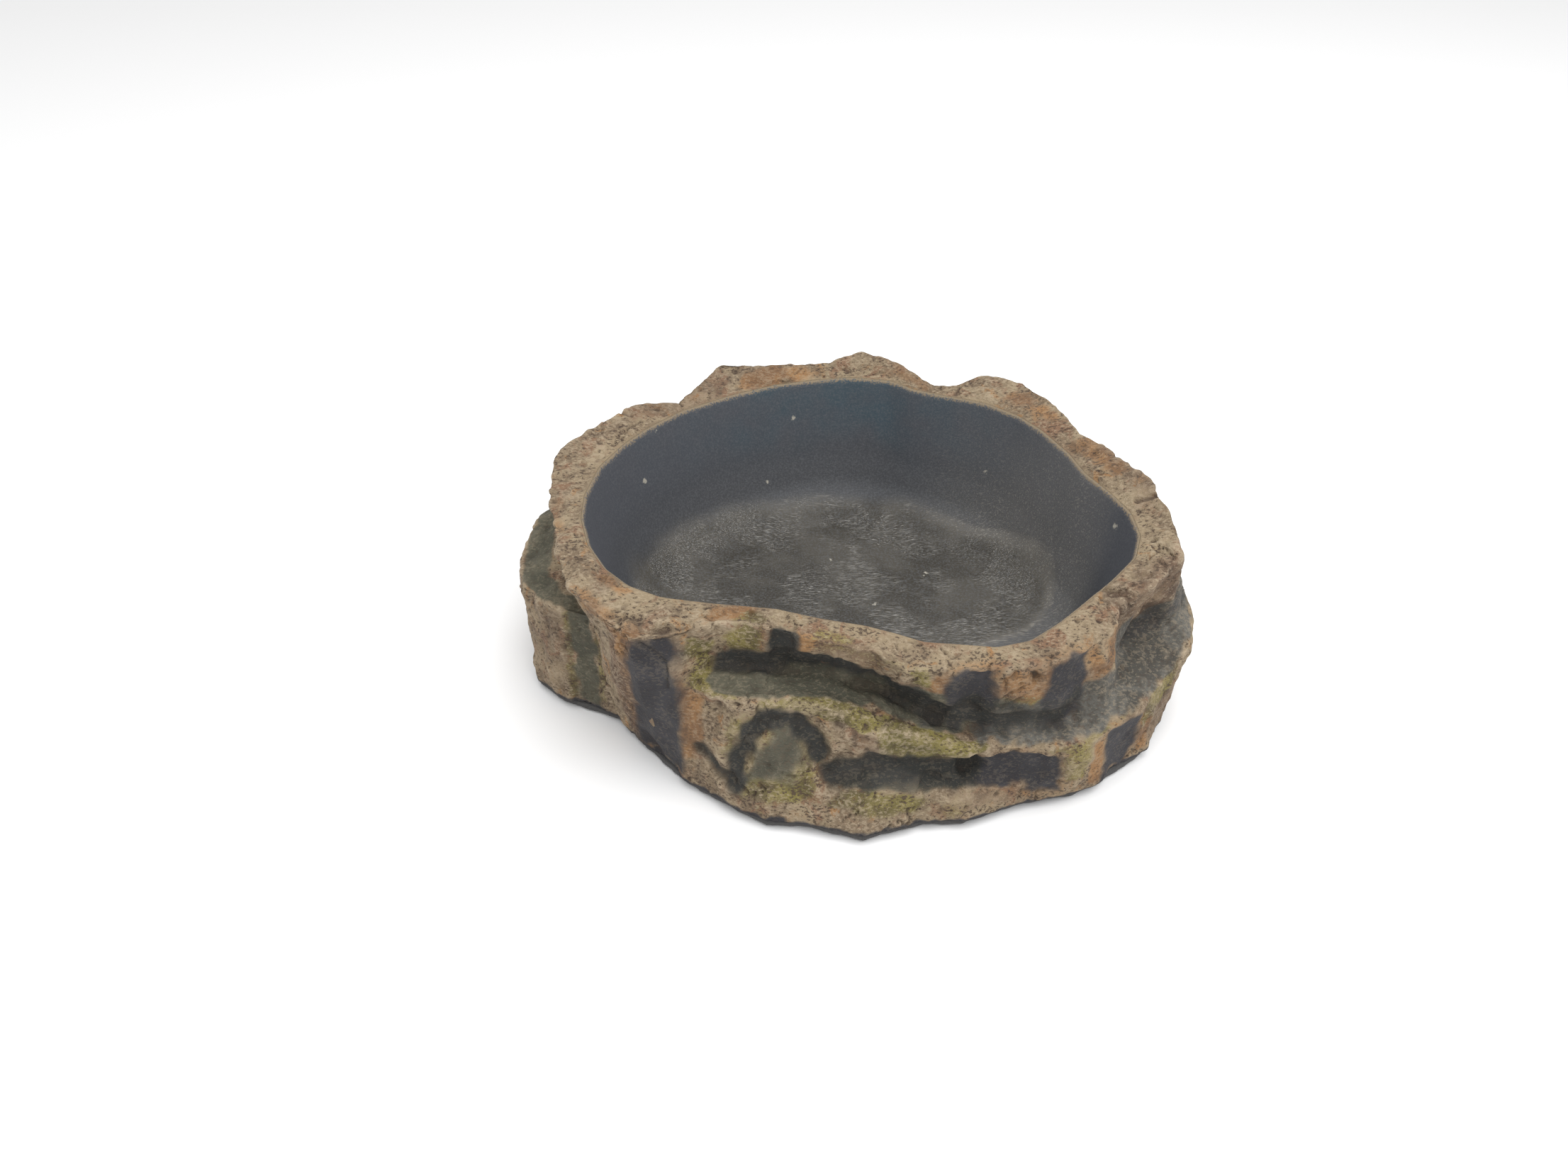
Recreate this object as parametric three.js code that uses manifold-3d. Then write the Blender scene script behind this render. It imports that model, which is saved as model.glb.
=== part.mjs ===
// A rock-look water dish in cold-cast resin, for a reptile or amphibian tank.
// A hollow rock ring carries a smooth basin on a rebated seat. A flat plate, with four
// non-slip pads in pockets, closes the hollow from below. Nothing on it moves.
// Millimetres, +Z up, the floor at z = 0, the front of the dish towards -Y.
import * as THREE from 'three';
import { mergeVertices } from 'three/addons/utils/BufferGeometryUtils.js';
import Module from 'manifold-3d';

const wasm = await Module();
wasm.setup();

// ---------- driving dimensions ----------

const GAP = 0.3; // glue line between two bonded pieces
// Sections stand closer together round the worn front than round the back, in degrees.
// Every bonded piece uses the same ones, so that their seams run together.
const FRONT = { from: -148, to: -20, step: 2 };
const BACK = { from: -20, to: 212, step: 4 };
const PLAN_SHIFT = { x: -2.1, y: 1.37 }; // from the outlines' own centre to the middle of the dish

const PAD_RADIUS = 11;
const PAD_HEIGHT = 1.6;
const PAD_SIDES = 32;
const PAD_PLACES = {
  front_left: [-62, -62],
  front_right: [72, -58],
  back_right: [74, 62],
  back_left: [-72, 64],
};

const PLATE_BOTTOM = 1;
const PLATE_TOP = 4;
const PLATE_INSET = 2.5; // how far the plate stays in from the foot of the rock
const SPIGOT_HEIGHT = 2; // raised middle that centres the plate in the hollow
const SPIGOT_INSET = 14;

const FOOT_HEIGHT = PLATE_TOP + GAP; // where the rock begins
const SKIRT_WIDTH = 11; // width of the ring of resin that stands on the plate
const WALL = 8; // thickness of the rock skin
const SEAT_DEPTH = 8; // how far below the rim's edge the basin's seat lies
const SEAT_WIDTH = 2.7;
const SEAT_HEIGHT = 4;

const BASIN_WALL = 4.6;
const BASIN_FLOOR = 20; // height of the water side of the floor
const BASIN_FLOOR_THICKNESS = 5;
const LIP_THICKNESS = 1.2; // the basin's wall thins to this at the rim
// The water side, as [how far in from the rim's edge, depth as a share of the whole depth]
const BASIN_PROFILE = [[2.6, 0.1], [6.5, 0.34], [11, 0.6], [16.5, 0.81], [24, 0.935], [36, 1]];

// ---------- outlines round the rock: [angle in degrees, radius, height] ----------
// Angles run anticlockwise from +X, seen from above. Straight runs between the points are
// the rock's flat facets.

const FOOT = [
  [-176, 136], [-166, 136], [-160, 128], [-156, 120], [-150, 110], [-143, 109], [-132, 110],
  [-124, 112], [-114, 114], [-106, 117], [-98, 115], [-88, 120], [-76, 116], [-69, 120],
  [-57, 122], [-48, 131], [-42, 135.5], [-32, 142], [-20, 144], [-8, 141], [4, 136], [16, 129],
  [30, 128], [44, 125], [56, 121], [68, 116], [80, 119], [92, 116], [104, 112], [116, 121],
  [128, 119], [142, 121], [156, 128], [170, 134],
].map(([angle, radius]) => [angle, radius, FOOT_HEIGHT]);

// The outer edge of the ledge that runs round the front and the right.
const LEDGE_EDGE = [
  [-176, 138, 50], [-168, 135, 54], [-162, 129, 54], [-157, 121, 54], [-152, 112, 54],
  [-143, 117, 40], [-132, 118, 42], [-126, 112, 44], [-124, 106, 49], [-112, 104, 51],
  [-98, 96, 49], [-85, 101, 44], [-75, 106, 38], [-66, 112, 35], [-58, 119, 32], [-50, 130, 31],
  [-43, 134, 32], [-36, 139, 34], [-26, 143.5, 38], [-18, 147.5, 41], [-13, 146, 43],
  [-7, 141, 46], [4, 136, 50], [20, 122, 52], [40, 122, 50], [60, 112, 46], [80, 114, 50],
  [100, 108, 52], [120, 116, 48], [140, 116, 50], [160, 126, 52], [172, 136, 53],
];

// The inner corner of that ledge, at the foot of the upper wall.
const LEDGE_CORNER = [
  [-176, 114, 60], [-168, 114, 57], [-160, 115, 56], [-152, 110, 57], [-146, 116, 60],
  [-132, 121, 62], [-126, 112, 60], [-123, 95, 56], [-112, 88, 54], [-98, 84, 53],
  [-85, 87, 50], [-80, 90, 46], [-75, 95, 43], [-70, 101, 40], [-62, 109, 37], [-55, 116, 36],
  [-48, 122, 36], [-43, 126, 38], [-38, 127, 40], [-32, 122, 44], [-24, 118, 48], [-20, 133, 47],
  [-17, 140, 47], [-12, 140, 49], [-5, 135, 54], [8, 126, 60], [20, 116, 62], [40, 116, 62],
  [60, 106, 62], [80, 111, 64], [100, 106, 64], [120, 111, 62], [140, 112, 62], [160, 121, 64],
];

// The outer shoulder of the rim, which hangs over the ledge at the front right.
const BROW = [
  [-176, 122, 78], [-166, 119, 79], [-157, 121, 80], [-151, 123, 79], [-143, 122, 79],
  [-132, 121, 76], [-128, 112, 76], [-121, 94, 76], [-116, 89, 76], [-104, 89, 75],
  [-94, 91, 74], [-86, 94, 73], [-80, 101, 70], [-72, 104, 69], [-62, 111, 69], [-54, 117, 69],
  [-47, 122, 69], [-40, 124, 70], [-33, 118, 70], [-26, 129, 76], [-19, 135, 78], [-14, 133, 81],
  [-8, 131, 83], [-5, 127, 84], [1, 127, 84], [6, 120, 84], [15, 117, 84], [21, 112, 84],
  [32, 117, 85], [44, 121, 86], [53, 115, 86], [58, 104, 81], [64, 103, 80], [74, 108, 86],
  [83, 113, 88], [93, 105, 85], [102, 104, 86], [112, 107, 87], [119, 116, 87], [128, 108, 84],
  [136, 104, 82], [146, 115, 84], [161, 122, 83], [169, 127, 81], [177, 124, 79],
];

// The rim's inner edge, where the rock meets the basin.
const RIM_EDGE = [
  [-169, 108, 80], [-178, 107, 80], [170, 105, 80], [159, 102, 80], [150, 100, 80], [137, 98, 80],
  [123, 95, 80], [108, 96, 80], [96, 97, 80], [87, 99, 80], [75, 99, 80], [68, 96, 79],
  [58, 97, 79], [47, 100, 80], [37, 102, 80], [28, 102, 80], [17, 103, 79], [8, 103, 79],
  [0, 110, 78], [-6, 116, 77], [-13, 119, 76], [-20, 118, 75], [-28, 113, 74], [-36, 109, 73],
  [-45, 107, 72], [-53, 106, 71], [-60, 102, 71], [-66, 95, 71], [-74, 90, 72], [-80, 84, 73],
  [-87, 80, 74], [-99, 78, 75], [-111, 78, 76], [-124, 86, 77], [-136, 98, 78], [-143, 104, 79],
  [-150, 107, 80], [-159, 108, 80],
];

// ---------- hollows and bulges worn into the front wall ----------
// Each follows a path of [angle, height] points. A depth below zero is a bulge.

const MM_PER_DEGREE = 2; // along the wall, at its usual radius
const LOWER_RELIEF = [
  { path: [[-121, 20], [-114, 20], [-110, 37], [-103, 42], [-96, 33]], reach: 10, depth: 5 },
  { path: [[-94, 21], [-86, 24], [-74, 20], [-62, 21], [-55, 17]], reach: 11, depth: 5 },
  { path: [[-38, 22], [-33, 12]], reach: 14, depth: 4 },
  { path: [[-90, 38], [-78, 35], [-69, 33]], reach: 10, depth: -2 },
];
const UPPER_RELIEF = [
  { path: [[-108, 66], [-107, 62]], reach: 9, depth: 3 },
  { path: [[-67, 60], [-66, 52]], reach: 12, depth: 3 },
  { path: [[-45, 58], [-43, 48]], reach: 12, depth: 3 },
];

// ---------- shape helpers ----------

const radians = THREE.MathUtils.degToRad;

/** The same angle, from -180 up to 180. */
const wrapped = (angle) => THREE.MathUtils.euclideanModulo(angle + 180, 360) - 180;

const ANGLES = [FRONT, BACK].flatMap(({ from, to, step }) => (
  Array.from({ length: (to - from) / step }, (_, i) => wrapped(from + i * step))
));

/** The point where the ray at an angle crosses the straight-sided outline. */
function onOutline(outline, angle) {
  const points = [...outline].sort((a, b) => a[0] - b[0]);
  const next = points.findIndex((point) => point[0] > angle);
  const [a1, r1, z1] = next > 0 ? points[next - 1] : points.at(-1);
  const [a2, r2, z2] = next >= 0 ? points[next] : points[0];
  const [x1, y1] = [r1 * Math.cos(radians(a1)), r1 * Math.sin(radians(a1))];
  const [dx, dy] = [r2 * Math.cos(radians(a2)) - x1, r2 * Math.sin(radians(a2)) - y1];
  const [c, s] = [Math.cos(radians(angle)), Math.sin(radians(angle))];
  const share = (x1 * s - y1 * c) / (dy * c - dx * s);
  return { radius: Math.hypot(x1 + dx * share, y1 + dy * share), height: z1 + (z2 - z1) * share };
}

/** How far a wall point is worn away, from its nearness to each path. */
function wornBy(relief, angle, height) {
  let worn = 0;
  for (const { path, reach, depth } of relief) {
    let nearest = Infinity;
    for (let i = 0; i + 1 < path.length; i++) {
      const [[a1, z1], [a2, z2]] = [path[i], path[i + 1]];
      const [px, pz] = [(angle - a1) * MM_PER_DEGREE, height - z1];
      const [dx, dz] = [(a2 - a1) * MM_PER_DEGREE, z2 - z1];
      const share = THREE.MathUtils.clamp((px * dx + pz * dz) / (dx * dx + dz * dz), 0, 1);
      nearest = Math.min(nearest, Math.hypot(px - dx * share, pz - dz * share));
    }
    worn += depth * (1 - THREE.MathUtils.smoothstep(nearest, 0, reach));
  }
  return worn;
}

/** Points shared out evenly from one section point up to, but not including, the next. */
function run(from, to, count) {
  return Array.from({ length: count }, (_, i) => {
    const share = i / count;
    return [from[0] + (to[0] - from[0]) * share, from[1] + (to[1] - from[1]) * share];
  });
}

/** A closed ring of resin from section(angle), which gives a loop of [radius, height] points. */
function ringSolid(section) {
  const count = ANGLES.length;
  const loops = ANGLES.map(section);
  const rows = loops[0].length;
  const positions = loops.flatMap((loop, i) => {
    const angle = radians(ANGLES[i]);
    return loop.flatMap(([radius, height]) => [radius * Math.cos(angle), radius * Math.sin(angle), height]);
  });
  const index = [];
  for (let i = 0; i < count; i++) {
    const j = (i + 1) % count;
    for (let k = 0; k < rows; k++) {
      const m = (k + 1) % rows;
      index.push(i * rows + k, j * rows + k, j * rows + m, i * rows + k, j * rows + m, i * rows + m);
    }
  }
  return geometryOf(positions, index);
}

/** A closed solid from section(angle), whose loop starts and ends on the middle axis. */
function capSolid(section) {
  const count = ANGLES.length;
  const loops = ANGLES.map(section);
  const rows = loops[0].length - 2;
  const positions = loops.flatMap((loop, i) => {
    const angle = radians(ANGLES[i]);
    return loop.slice(1, -1).flatMap(([radius, height]) => [
      radius * Math.cos(angle), radius * Math.sin(angle), height,
    ]);
  });
  const first = positions.length / 3;
  positions.push(0, 0, loops[0][0][1], 0, 0, loops[0].at(-1)[1]);
  const index = [];
  for (let i = 0; i < count; i++) {
    const j = (i + 1) % count;
    index.push(first, j * rows, i * rows);
    for (let k = 0; k + 1 < rows; k++) {
      index.push(i * rows + k, j * rows + k, j * rows + k + 1);
      index.push(i * rows + k, j * rows + k + 1, i * rows + k + 1);
    }
    index.push(i * rows + rows - 1, j * rows + rows - 1, first + 1);
  }
  return geometryOf(positions, index);
}

function geometryOf(positions, index) {
  const geometry = new THREE.BufferGeometry();
  geometry.setAttribute('position', new THREE.Float32BufferAttribute(positions, 3));
  geometry.setIndex(index);
  return geometry;
}

function toManifold(geometry) {
  const bare = new THREE.BufferGeometry().setAttribute('position', geometry.getAttribute('position'));
  bare.setIndex(geometry.index);
  const merged = mergeVertices(bare, 1e-4);
  return new wasm.Manifold(new wasm.Mesh({
    numProp: 3,
    vertProperties: merged.attributes.position.array,
    triVerts: new Uint32Array(merged.index.array),
  }));
}

function fromManifold(solid) {
  const { vertProperties, triVerts } = solid.getMesh();
  return geometryOf([...vertProperties], [...triVerts]);
}

// ---------- the rock ring ----------

function rockSection(angle) {
  const foot = onOutline(FOOT, angle);
  const ledge = onOutline(LEDGE_EDGE, angle);
  const corner = onOutline(LEDGE_CORNER, angle);
  const brow = onOutline(BROW, angle);
  const edge = onOutline(RIM_EDGE, angle);
  const at = ({ radius, height }) => [radius, height];
  const wear = (relief) => ([radius, height]) => [radius - wornBy(relief, angle, height), height];
  const seatHeight = edge.height - SEAT_DEPTH - GAP;
  const seatRadius = edge.radius - SEAT_WIDTH;
  const waist = Math.max(seatRadius + 1, corner.radius - WALL);
  const flare = Math.min(foot.radius - SKIRT_WIDTH, ledge.radius - WALL);
  return [
    ...run(at(foot), at(ledge), 8).map(wear(LOWER_RELIEF)),
    ...run(at(ledge), at(corner), 4),
    ...run(at(corner), at(brow), 4).map(wear(UPPER_RELIEF)),
    ...run(at(brow), at(edge), 3),
    at(edge),
    [edge.radius, seatHeight],
    [seatRadius, seatHeight],
    [seatRadius, seatHeight - SEAT_HEIGHT],
    [waist, corner.height - 6],
    [Math.max(waist, flare - 3), (corner.height + FOOT_HEIGHT) / 2 - 6],
    [foot.radius - SKIRT_WIDTH, FOOT_HEIGHT],
  ];
}

// ---------- the basin ----------

function basinSection(angle) {
  const edge = onOutline(RIM_EDGE, angle);
  const depth = edge.height - BASIN_FLOOR;
  const outside = edge.radius - GAP;
  const seated = edge.radius - SEAT_WIDTH - GAP;
  const water = BASIN_PROFILE.map(([inset, share]) => [edge.radius - inset, edge.height - depth * share]);
  const under = BASIN_PROFILE.slice(2).map(([inset, share]) => [
    Math.min(seated - 0.5, edge.radius - inset + BASIN_WALL),
    edge.height - depth * share - BASIN_FLOOR_THICKNESS * share,
  ]);
  return [
    [0, BASIN_FLOOR - BASIN_FLOOR_THICKNESS],
    ...under.toReversed(),
    [seated, edge.height - SEAT_DEPTH - 2 * GAP],
    [seated, edge.height - SEAT_DEPTH],
    [outside, edge.height - SEAT_DEPTH],
    [outside, edge.height],
    [outside - LIP_THICKNESS, edge.height],
    ...water,
    [0, BASIN_FLOOR],
  ];
}

// ---------- the base plate and its pads ----------

function slab(inset, bottom, top) {
  const outline = new THREE.Shape(
    ANGLES.map((angle) => {
      const radius = onOutline(FOOT, angle).radius - inset;
      return new THREE.Vector2(radius * Math.cos(radians(angle)), radius * Math.sin(radians(angle)));
    }),
  );
  const geometry = new THREE.ExtrudeGeometry(outline, { depth: top - bottom, bevelEnabled: false });
  geometry.deleteAttribute('normal');
  geometry.deleteAttribute('uv');
  return mergeVertices(geometry.translate(0, 0, bottom));
}

function disc(radius, bottom, top, [x, y]) {
  const geometry = new THREE.CylinderGeometry(radius, radius, top - bottom, PAD_SIDES);
  geometry.rotateX(Math.PI / 2).translate(x, y, (top + bottom) / 2);
  geometry.deleteAttribute('normal');
  geometry.deleteAttribute('uv');
  return mergeVertices(geometry);
}

function basePlate() {
  let plate = toManifold(slab(PLATE_INSET, PLATE_BOTTOM, PLATE_TOP));
  plate = plate.add(toManifold(slab(SPIGOT_INSET, PLATE_TOP - 1, PLATE_TOP + SPIGOT_HEIGHT)));
  for (const place of Object.values(PAD_PLACES)) {
    plate = plate.subtract(toManifold(disc(PAD_RADIUS + GAP, PLATE_BOTTOM - 1, PAD_HEIGHT + GAP, place)));
  }
  return fromManifold(plate);
}

// ---------- the assembly ----------

const paintedResin = new THREE.MeshStandardMaterial({ color: 0x8f7f63, roughness: 0.8, metalness: 0 });
const sealedResin = new THREE.MeshStandardMaterial({ color: 0x3d4146, roughness: 0.55, metalness: 0 });
const backingResin = new THREE.MeshStandardMaterial({ color: 0x3a3a3c, roughness: 0.85, metalness: 0 });
const foam = new THREE.MeshStandardMaterial({ color: 0x1b1b1c, roughness: 0.95, metalness: 0 });

const dish = new THREE.Group();

function place(name, geometry, material) {
  const mesh = new THREE.Mesh(geometry.translate(PLAN_SHIFT.x, PLAN_SHIFT.y, 0), material);
  mesh.name = name;
  dish.add(mesh);
}

place('rock_shell', ringSolid(rockSection), paintedResin);
place('basin_liner', capSolid(basinSection), sealedResin);
place('base_plate', basePlate(), backingResin);
for (const [corner, at] of Object.entries(PAD_PLACES)) {
  place(`non_slip_pad_${corner}`, disc(PAD_RADIUS, 0, PAD_HEIGHT, at), foam);
}

export default dish;
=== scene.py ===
"""A rock-look water dish for a reptile or amphibian tank, in painted cold-cast resin.

The dish has a rock ring, a smooth basin, a base plate and four non-slip pads. The rock is made as
a skin of sections round the dish: a section runs from the foot (band 0), by the ledge's outer edge
(1), the ledge's inner corner (2) and the brow (3), to the rim's inner edge (4). Grooves are cut
and paint is laid in that skin's own terms: the angle round the dish, and the band up it.
"""

import itertools
import logging
import math
from dataclasses import dataclass, field
from enum import Enum
from typing import ClassVar

import bpy
import numpy as np
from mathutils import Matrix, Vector


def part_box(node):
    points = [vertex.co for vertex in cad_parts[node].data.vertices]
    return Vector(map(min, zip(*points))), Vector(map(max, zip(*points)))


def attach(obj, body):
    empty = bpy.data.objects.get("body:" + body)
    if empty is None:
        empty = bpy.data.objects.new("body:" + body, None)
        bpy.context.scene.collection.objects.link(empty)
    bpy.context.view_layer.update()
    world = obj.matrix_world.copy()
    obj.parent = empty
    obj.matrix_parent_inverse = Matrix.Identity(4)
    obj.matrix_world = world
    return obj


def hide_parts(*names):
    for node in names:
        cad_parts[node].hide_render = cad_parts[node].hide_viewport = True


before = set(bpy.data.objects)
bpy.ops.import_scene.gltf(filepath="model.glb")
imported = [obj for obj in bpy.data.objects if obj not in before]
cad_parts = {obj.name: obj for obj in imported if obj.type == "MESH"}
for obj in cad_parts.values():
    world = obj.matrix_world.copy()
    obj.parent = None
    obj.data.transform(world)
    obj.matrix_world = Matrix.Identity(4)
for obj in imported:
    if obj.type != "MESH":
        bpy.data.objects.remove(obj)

LOG = logging.getLogger("dish")
MM = 0.001
ROOT = "root"
Outline = tuple[tuple[float, float, float], ...]
Spot = tuple[float, float]


class Paint(Enum):
    """The paints laid over the rock's sand coat. Each is a mask on the mesh, by this name."""

    MOSS = "moss"
    OCHRE = "ochre"
    UMBER = "umber"
    SAGE = "sage"
    GREY = "grey"
    SLATE = "slate"
    # near-black in the recesses, the creases and under the brow: dark paint, and painted shade where the
    # hollows and the overhang fall dark
    BLACK_AND_SHADE = "black_and_shade"


# ---------- random surfaces ----------


def lattice(cells: np.ndarray, seed: int) -> np.ndarray:
    """Gives each whole-number cell three random numbers that never change.

    Args:
        cells: Whole numbers, (n, 3).
        seed: Picks one set of random numbers.

    Returns:
        Numbers from 0 to 1, (n, 3).
    """
    key = cells.astype(np.int64) @ np.array([73856093, 19349663, 83492791]) + seed * 6151
    numbers = []
    for step in (12582917, 25165843, 50331653):
        mixed = (key ^ (key >> 15)) * step
        mixed = (mixed ^ (mixed >> 13)) * 1274126177
        numbers.append(((mixed ^ (mixed >> 16)) & 0xFFFF) / 65535.0)
    return np.stack(numbers, -1)


def swell(points: np.ndarray, size: float, seed: int) -> np.ndarray:
    """Smooth random lumps.

    Args:
        points: Places in mm, (..., 3).
        size: How far apart the lumps are, in mm.
        seed: Picks one pattern.

    Returns:
        Heights from about -1 to 1, (...).
    """
    flat = points.reshape(-1, 3) / size
    base = np.floor(flat)
    part = flat - base
    fade = part**3 * (part * (part * 6 - 15) + 10)
    total = np.zeros(len(flat))
    for corner in itertools.product((0, 1), repeat=3):
        at = np.array(corner)
        slope = lattice(base + at, seed) * 2 - 1
        weight = np.prod(np.where(at, fade, 1 - fade), axis=1)
        total += weight * ((part - at) * slope).sum(1)
    return (total * 1.7).reshape(points.shape[:-1])


def rugged(points: np.ndarray, size: float, octaves: int, seed: int) -> np.ndarray:
    """Lumps with smaller lumps on them, as `swell` gives them, each half the size of the last."""
    layers = [swell(points, size / 2**i, seed + i) / 2**i for i in range(octaves)]
    return np.sum(layers, axis=0)


def pocks(points: np.ndarray, size: float, reach: float, seed: int) -> np.ndarray:
    """Round pits scattered at random.

    Args:
        points: Places in mm, (..., 3).
        size: How far apart the pits are, in mm.
        reach: The largest pit's radius, as a share of size.
        seed: Picks one pattern.

    Returns:
        Depths from 0, outside every pit, to 1, (...).
    """
    flat = points.reshape(-1, 3) / size
    base = np.floor(flat)
    depth = np.zeros(len(flat))
    for corner in itertools.product((-1, 0, 1), repeat=3):
        cell = base + np.array(corner)
        centre = cell + lattice(cell, seed)
        radius = reach * (0.25 + 0.75 * lattice(cell, seed + 1)[:, 0])
        away = np.linalg.norm(flat - centre, axis=1) / radius
        depth = np.maximum(depth, np.clip(1 - away**2, 0, 1) * lattice(cell, seed + 2)[:, 0])
    return depth.reshape(points.shape[:-1])


def ease(low: float, high: float, value: np.ndarray) -> np.ndarray:
    """Goes smoothly from 0 at low to 1 at high."""
    share = np.clip((value - low) / (high - low), 0, 1)
    return share * share * (3 - 2 * share)


# ---------- the rock's skin ----------

FOOT_HEIGHT = 4.3

FOOT: Outline = tuple((angle, radius, FOOT_HEIGHT) for angle, radius in (
    (-176, 136), (-166, 136), (-160, 128), (-156, 120), (-150, 110), (-143, 109), (-132, 110),
    (-124, 112), (-114, 114), (-106, 117), (-98, 115), (-88, 120), (-76, 116), (-69, 120),
    (-57, 122), (-48, 131), (-42, 135.5), (-32, 142), (-20, 144), (-8, 141), (4, 136), (16, 129),
    (30, 128), (44, 125), (56, 121), (68, 116), (80, 119), (92, 116), (104, 112), (116, 121),
    (128, 119), (142, 121), (156, 128), (170, 134),
))

LEDGE_EDGE: Outline = (
    (-176, 138, 50), (-168, 135, 54), (-162, 129, 54), (-157, 121, 54), (-152, 112, 54),
    (-143, 117, 40), (-132, 118, 42), (-126, 112, 44), (-124, 106, 49), (-112, 104, 51),
    (-98, 96, 49), (-85, 101, 44), (-75, 106, 38), (-66, 112, 35), (-58, 119, 32),
    (-50, 130, 31), (-43, 134, 32), (-36, 139, 34), (-26, 143.5, 38), (-18, 147.5, 41),
    (-13, 146, 43), (-7, 141, 46), (4, 136, 50), (20, 122, 52), (40, 122, 50), (60, 112, 46),
    (80, 114, 50), (100, 108, 52), (120, 116, 48), (140, 116, 50), (160, 126, 52), (172, 136, 53),
)

LEDGE_CORNER: Outline = (
    (-176, 114, 60), (-168, 114, 57), (-160, 115, 56), (-152, 110, 57), (-146, 116, 60),
    (-132, 121, 62), (-126, 112, 60), (-123, 95, 56), (-112, 88, 54), (-98, 84, 53),
    (-85, 87, 50), (-80, 90, 46), (-75, 95, 43), (-70, 101, 40), (-62, 109, 37), (-55, 116, 36),
    (-48, 122, 36), (-43, 126, 38), (-38, 127, 40), (-32, 122, 44), (-24, 118, 48),
    (-20, 133, 47), (-17, 140, 47), (-12, 140, 49), (-5, 135, 54), (8, 126, 60), (20, 116, 62),
    (40, 116, 62), (60, 106, 62), (80, 111, 64), (100, 106, 64), (120, 111, 62), (140, 112, 62),
    (160, 121, 64),
)

BROW: Outline = (
    (-176, 122, 78), (-166, 119, 79), (-157, 121, 80), (-151, 123, 79), (-143, 122, 79),
    (-132, 121, 76), (-128, 112, 76), (-121, 94, 76), (-116, 89, 76), (-104, 89, 75),
    (-94, 91, 74), (-86, 94, 73), (-80, 101, 70), (-72, 104, 69), (-62, 111, 69), (-54, 117, 69),
    (-47, 122, 69), (-40, 124, 70), (-33, 118, 70), (-26, 129, 76), (-19, 135, 78),
    (-14, 133, 81), (-8, 131, 83), (-5, 127, 84), (1, 127, 84), (6, 120, 84), (15, 117, 84),
    (21, 112, 84), (32, 117, 85), (44, 121, 86), (53, 115, 86), (58, 104, 81), (64, 103, 80),
    (74, 108, 86), (83, 113, 88), (93, 105, 85), (102, 104, 86), (112, 107, 87),
    (119, 116, 87), (128, 108, 84), (136, 104, 82), (146, 115, 84), (161, 122, 83),
    (169, 127, 81), (177, 124, 79),
)

RIM_EDGE: Outline = (
    (-169, 108, 80), (-178, 107, 80), (170, 105, 80), (159, 102, 80), (150, 100, 80),
    (137, 98, 80), (123, 95, 80), (108, 96, 80), (96, 97, 80), (87, 99, 80), (75, 99, 80),
    (68, 96, 79), (58, 97, 79), (47, 100, 80), (37, 102, 80), (28, 102, 80), (17, 103, 79),
    (8, 103, 79), (0, 110, 78), (-6, 116, 77), (-13, 119, 76), (-20, 118, 75), (-28, 113, 74),
    (-36, 109, 73), (-45, 107, 72), (-53, 106, 71), (-60, 102, 71), (-66, 95, 71),
    (-74, 90, 72), (-80, 84, 73), (-87, 80, 74), (-99, 78, 75), (-111, 78, 76), (-124, 86, 77),
    (-136, 98, 78), (-143, 104, 79), (-150, 107, 80), (-159, 108, 80),
)


def on_outline(outline: Outline, angles: np.ndarray) -> np.ndarray:
    """Finds where the ray at each angle crosses a straight-sided outline.

    Args:
        outline: Points of (angle in degrees, radius, height), in any order.
        angles: Angles in degrees, (n,).

    Returns:
        Points in mm, (n, 3).
    """
    points = np.array(sorted(outline), dtype=float)
    points = np.vstack([points[-1] - (360, 0, 0), points, points[0] + (360, 0, 0)])
    turn = np.radians(points[:, 0])
    corners = np.stack([points[:, 1] * np.cos(turn), points[:, 1] * np.sin(turn)], -1)
    wrapped = (angles + 180) % 360 - 180
    first = np.clip(np.searchsorted(points[:, 0], wrapped, "right") - 1, 0, len(points) - 2)
    start, run = corners[first], corners[first + 1] - corners[first]
    ray = np.stack([np.cos(np.radians(wrapped)), np.sin(np.radians(wrapped))], -1)
    cross = start[:, 0] * ray[:, 1] - start[:, 1] * ray[:, 0]
    share = np.clip(cross / (run[:, 1] * ray[:, 0] - run[:, 0] * ray[:, 1]), 0, 1)
    plan = start + run * share[:, None]
    height = points[first, 2] + (points[first + 1, 2] - points[first, 2]) * share
    return np.column_stack([plan, height])


@dataclass(frozen=True)
class Groove:
    """A hollow worn into the rock along a path, or a bulge where its depth is below zero."""

    path: tuple[Spot, ...]
    width: float  # mm, from the middle of the hollow to where it runs out
    depth: float  # mm
    flat: float = 0.35  # how much of the width is the hollow's flat bed
    black_and_shade: float = 0.0  # how much near-black is sprayed into it: dark paint, and painted shade in the hollow


@dataclass(frozen=True)
class Patch:
    """An area of paint, by its corners."""

    corners: tuple[Spot, ...]
    strength: float = 1.0
    soft: float = 2.2  # mm over which the paint fades at its border
    ragged: float = 1.8  # mm by which the border wanders
    halo: float = 0.0  # how much ochre is sprayed round it first


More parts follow.
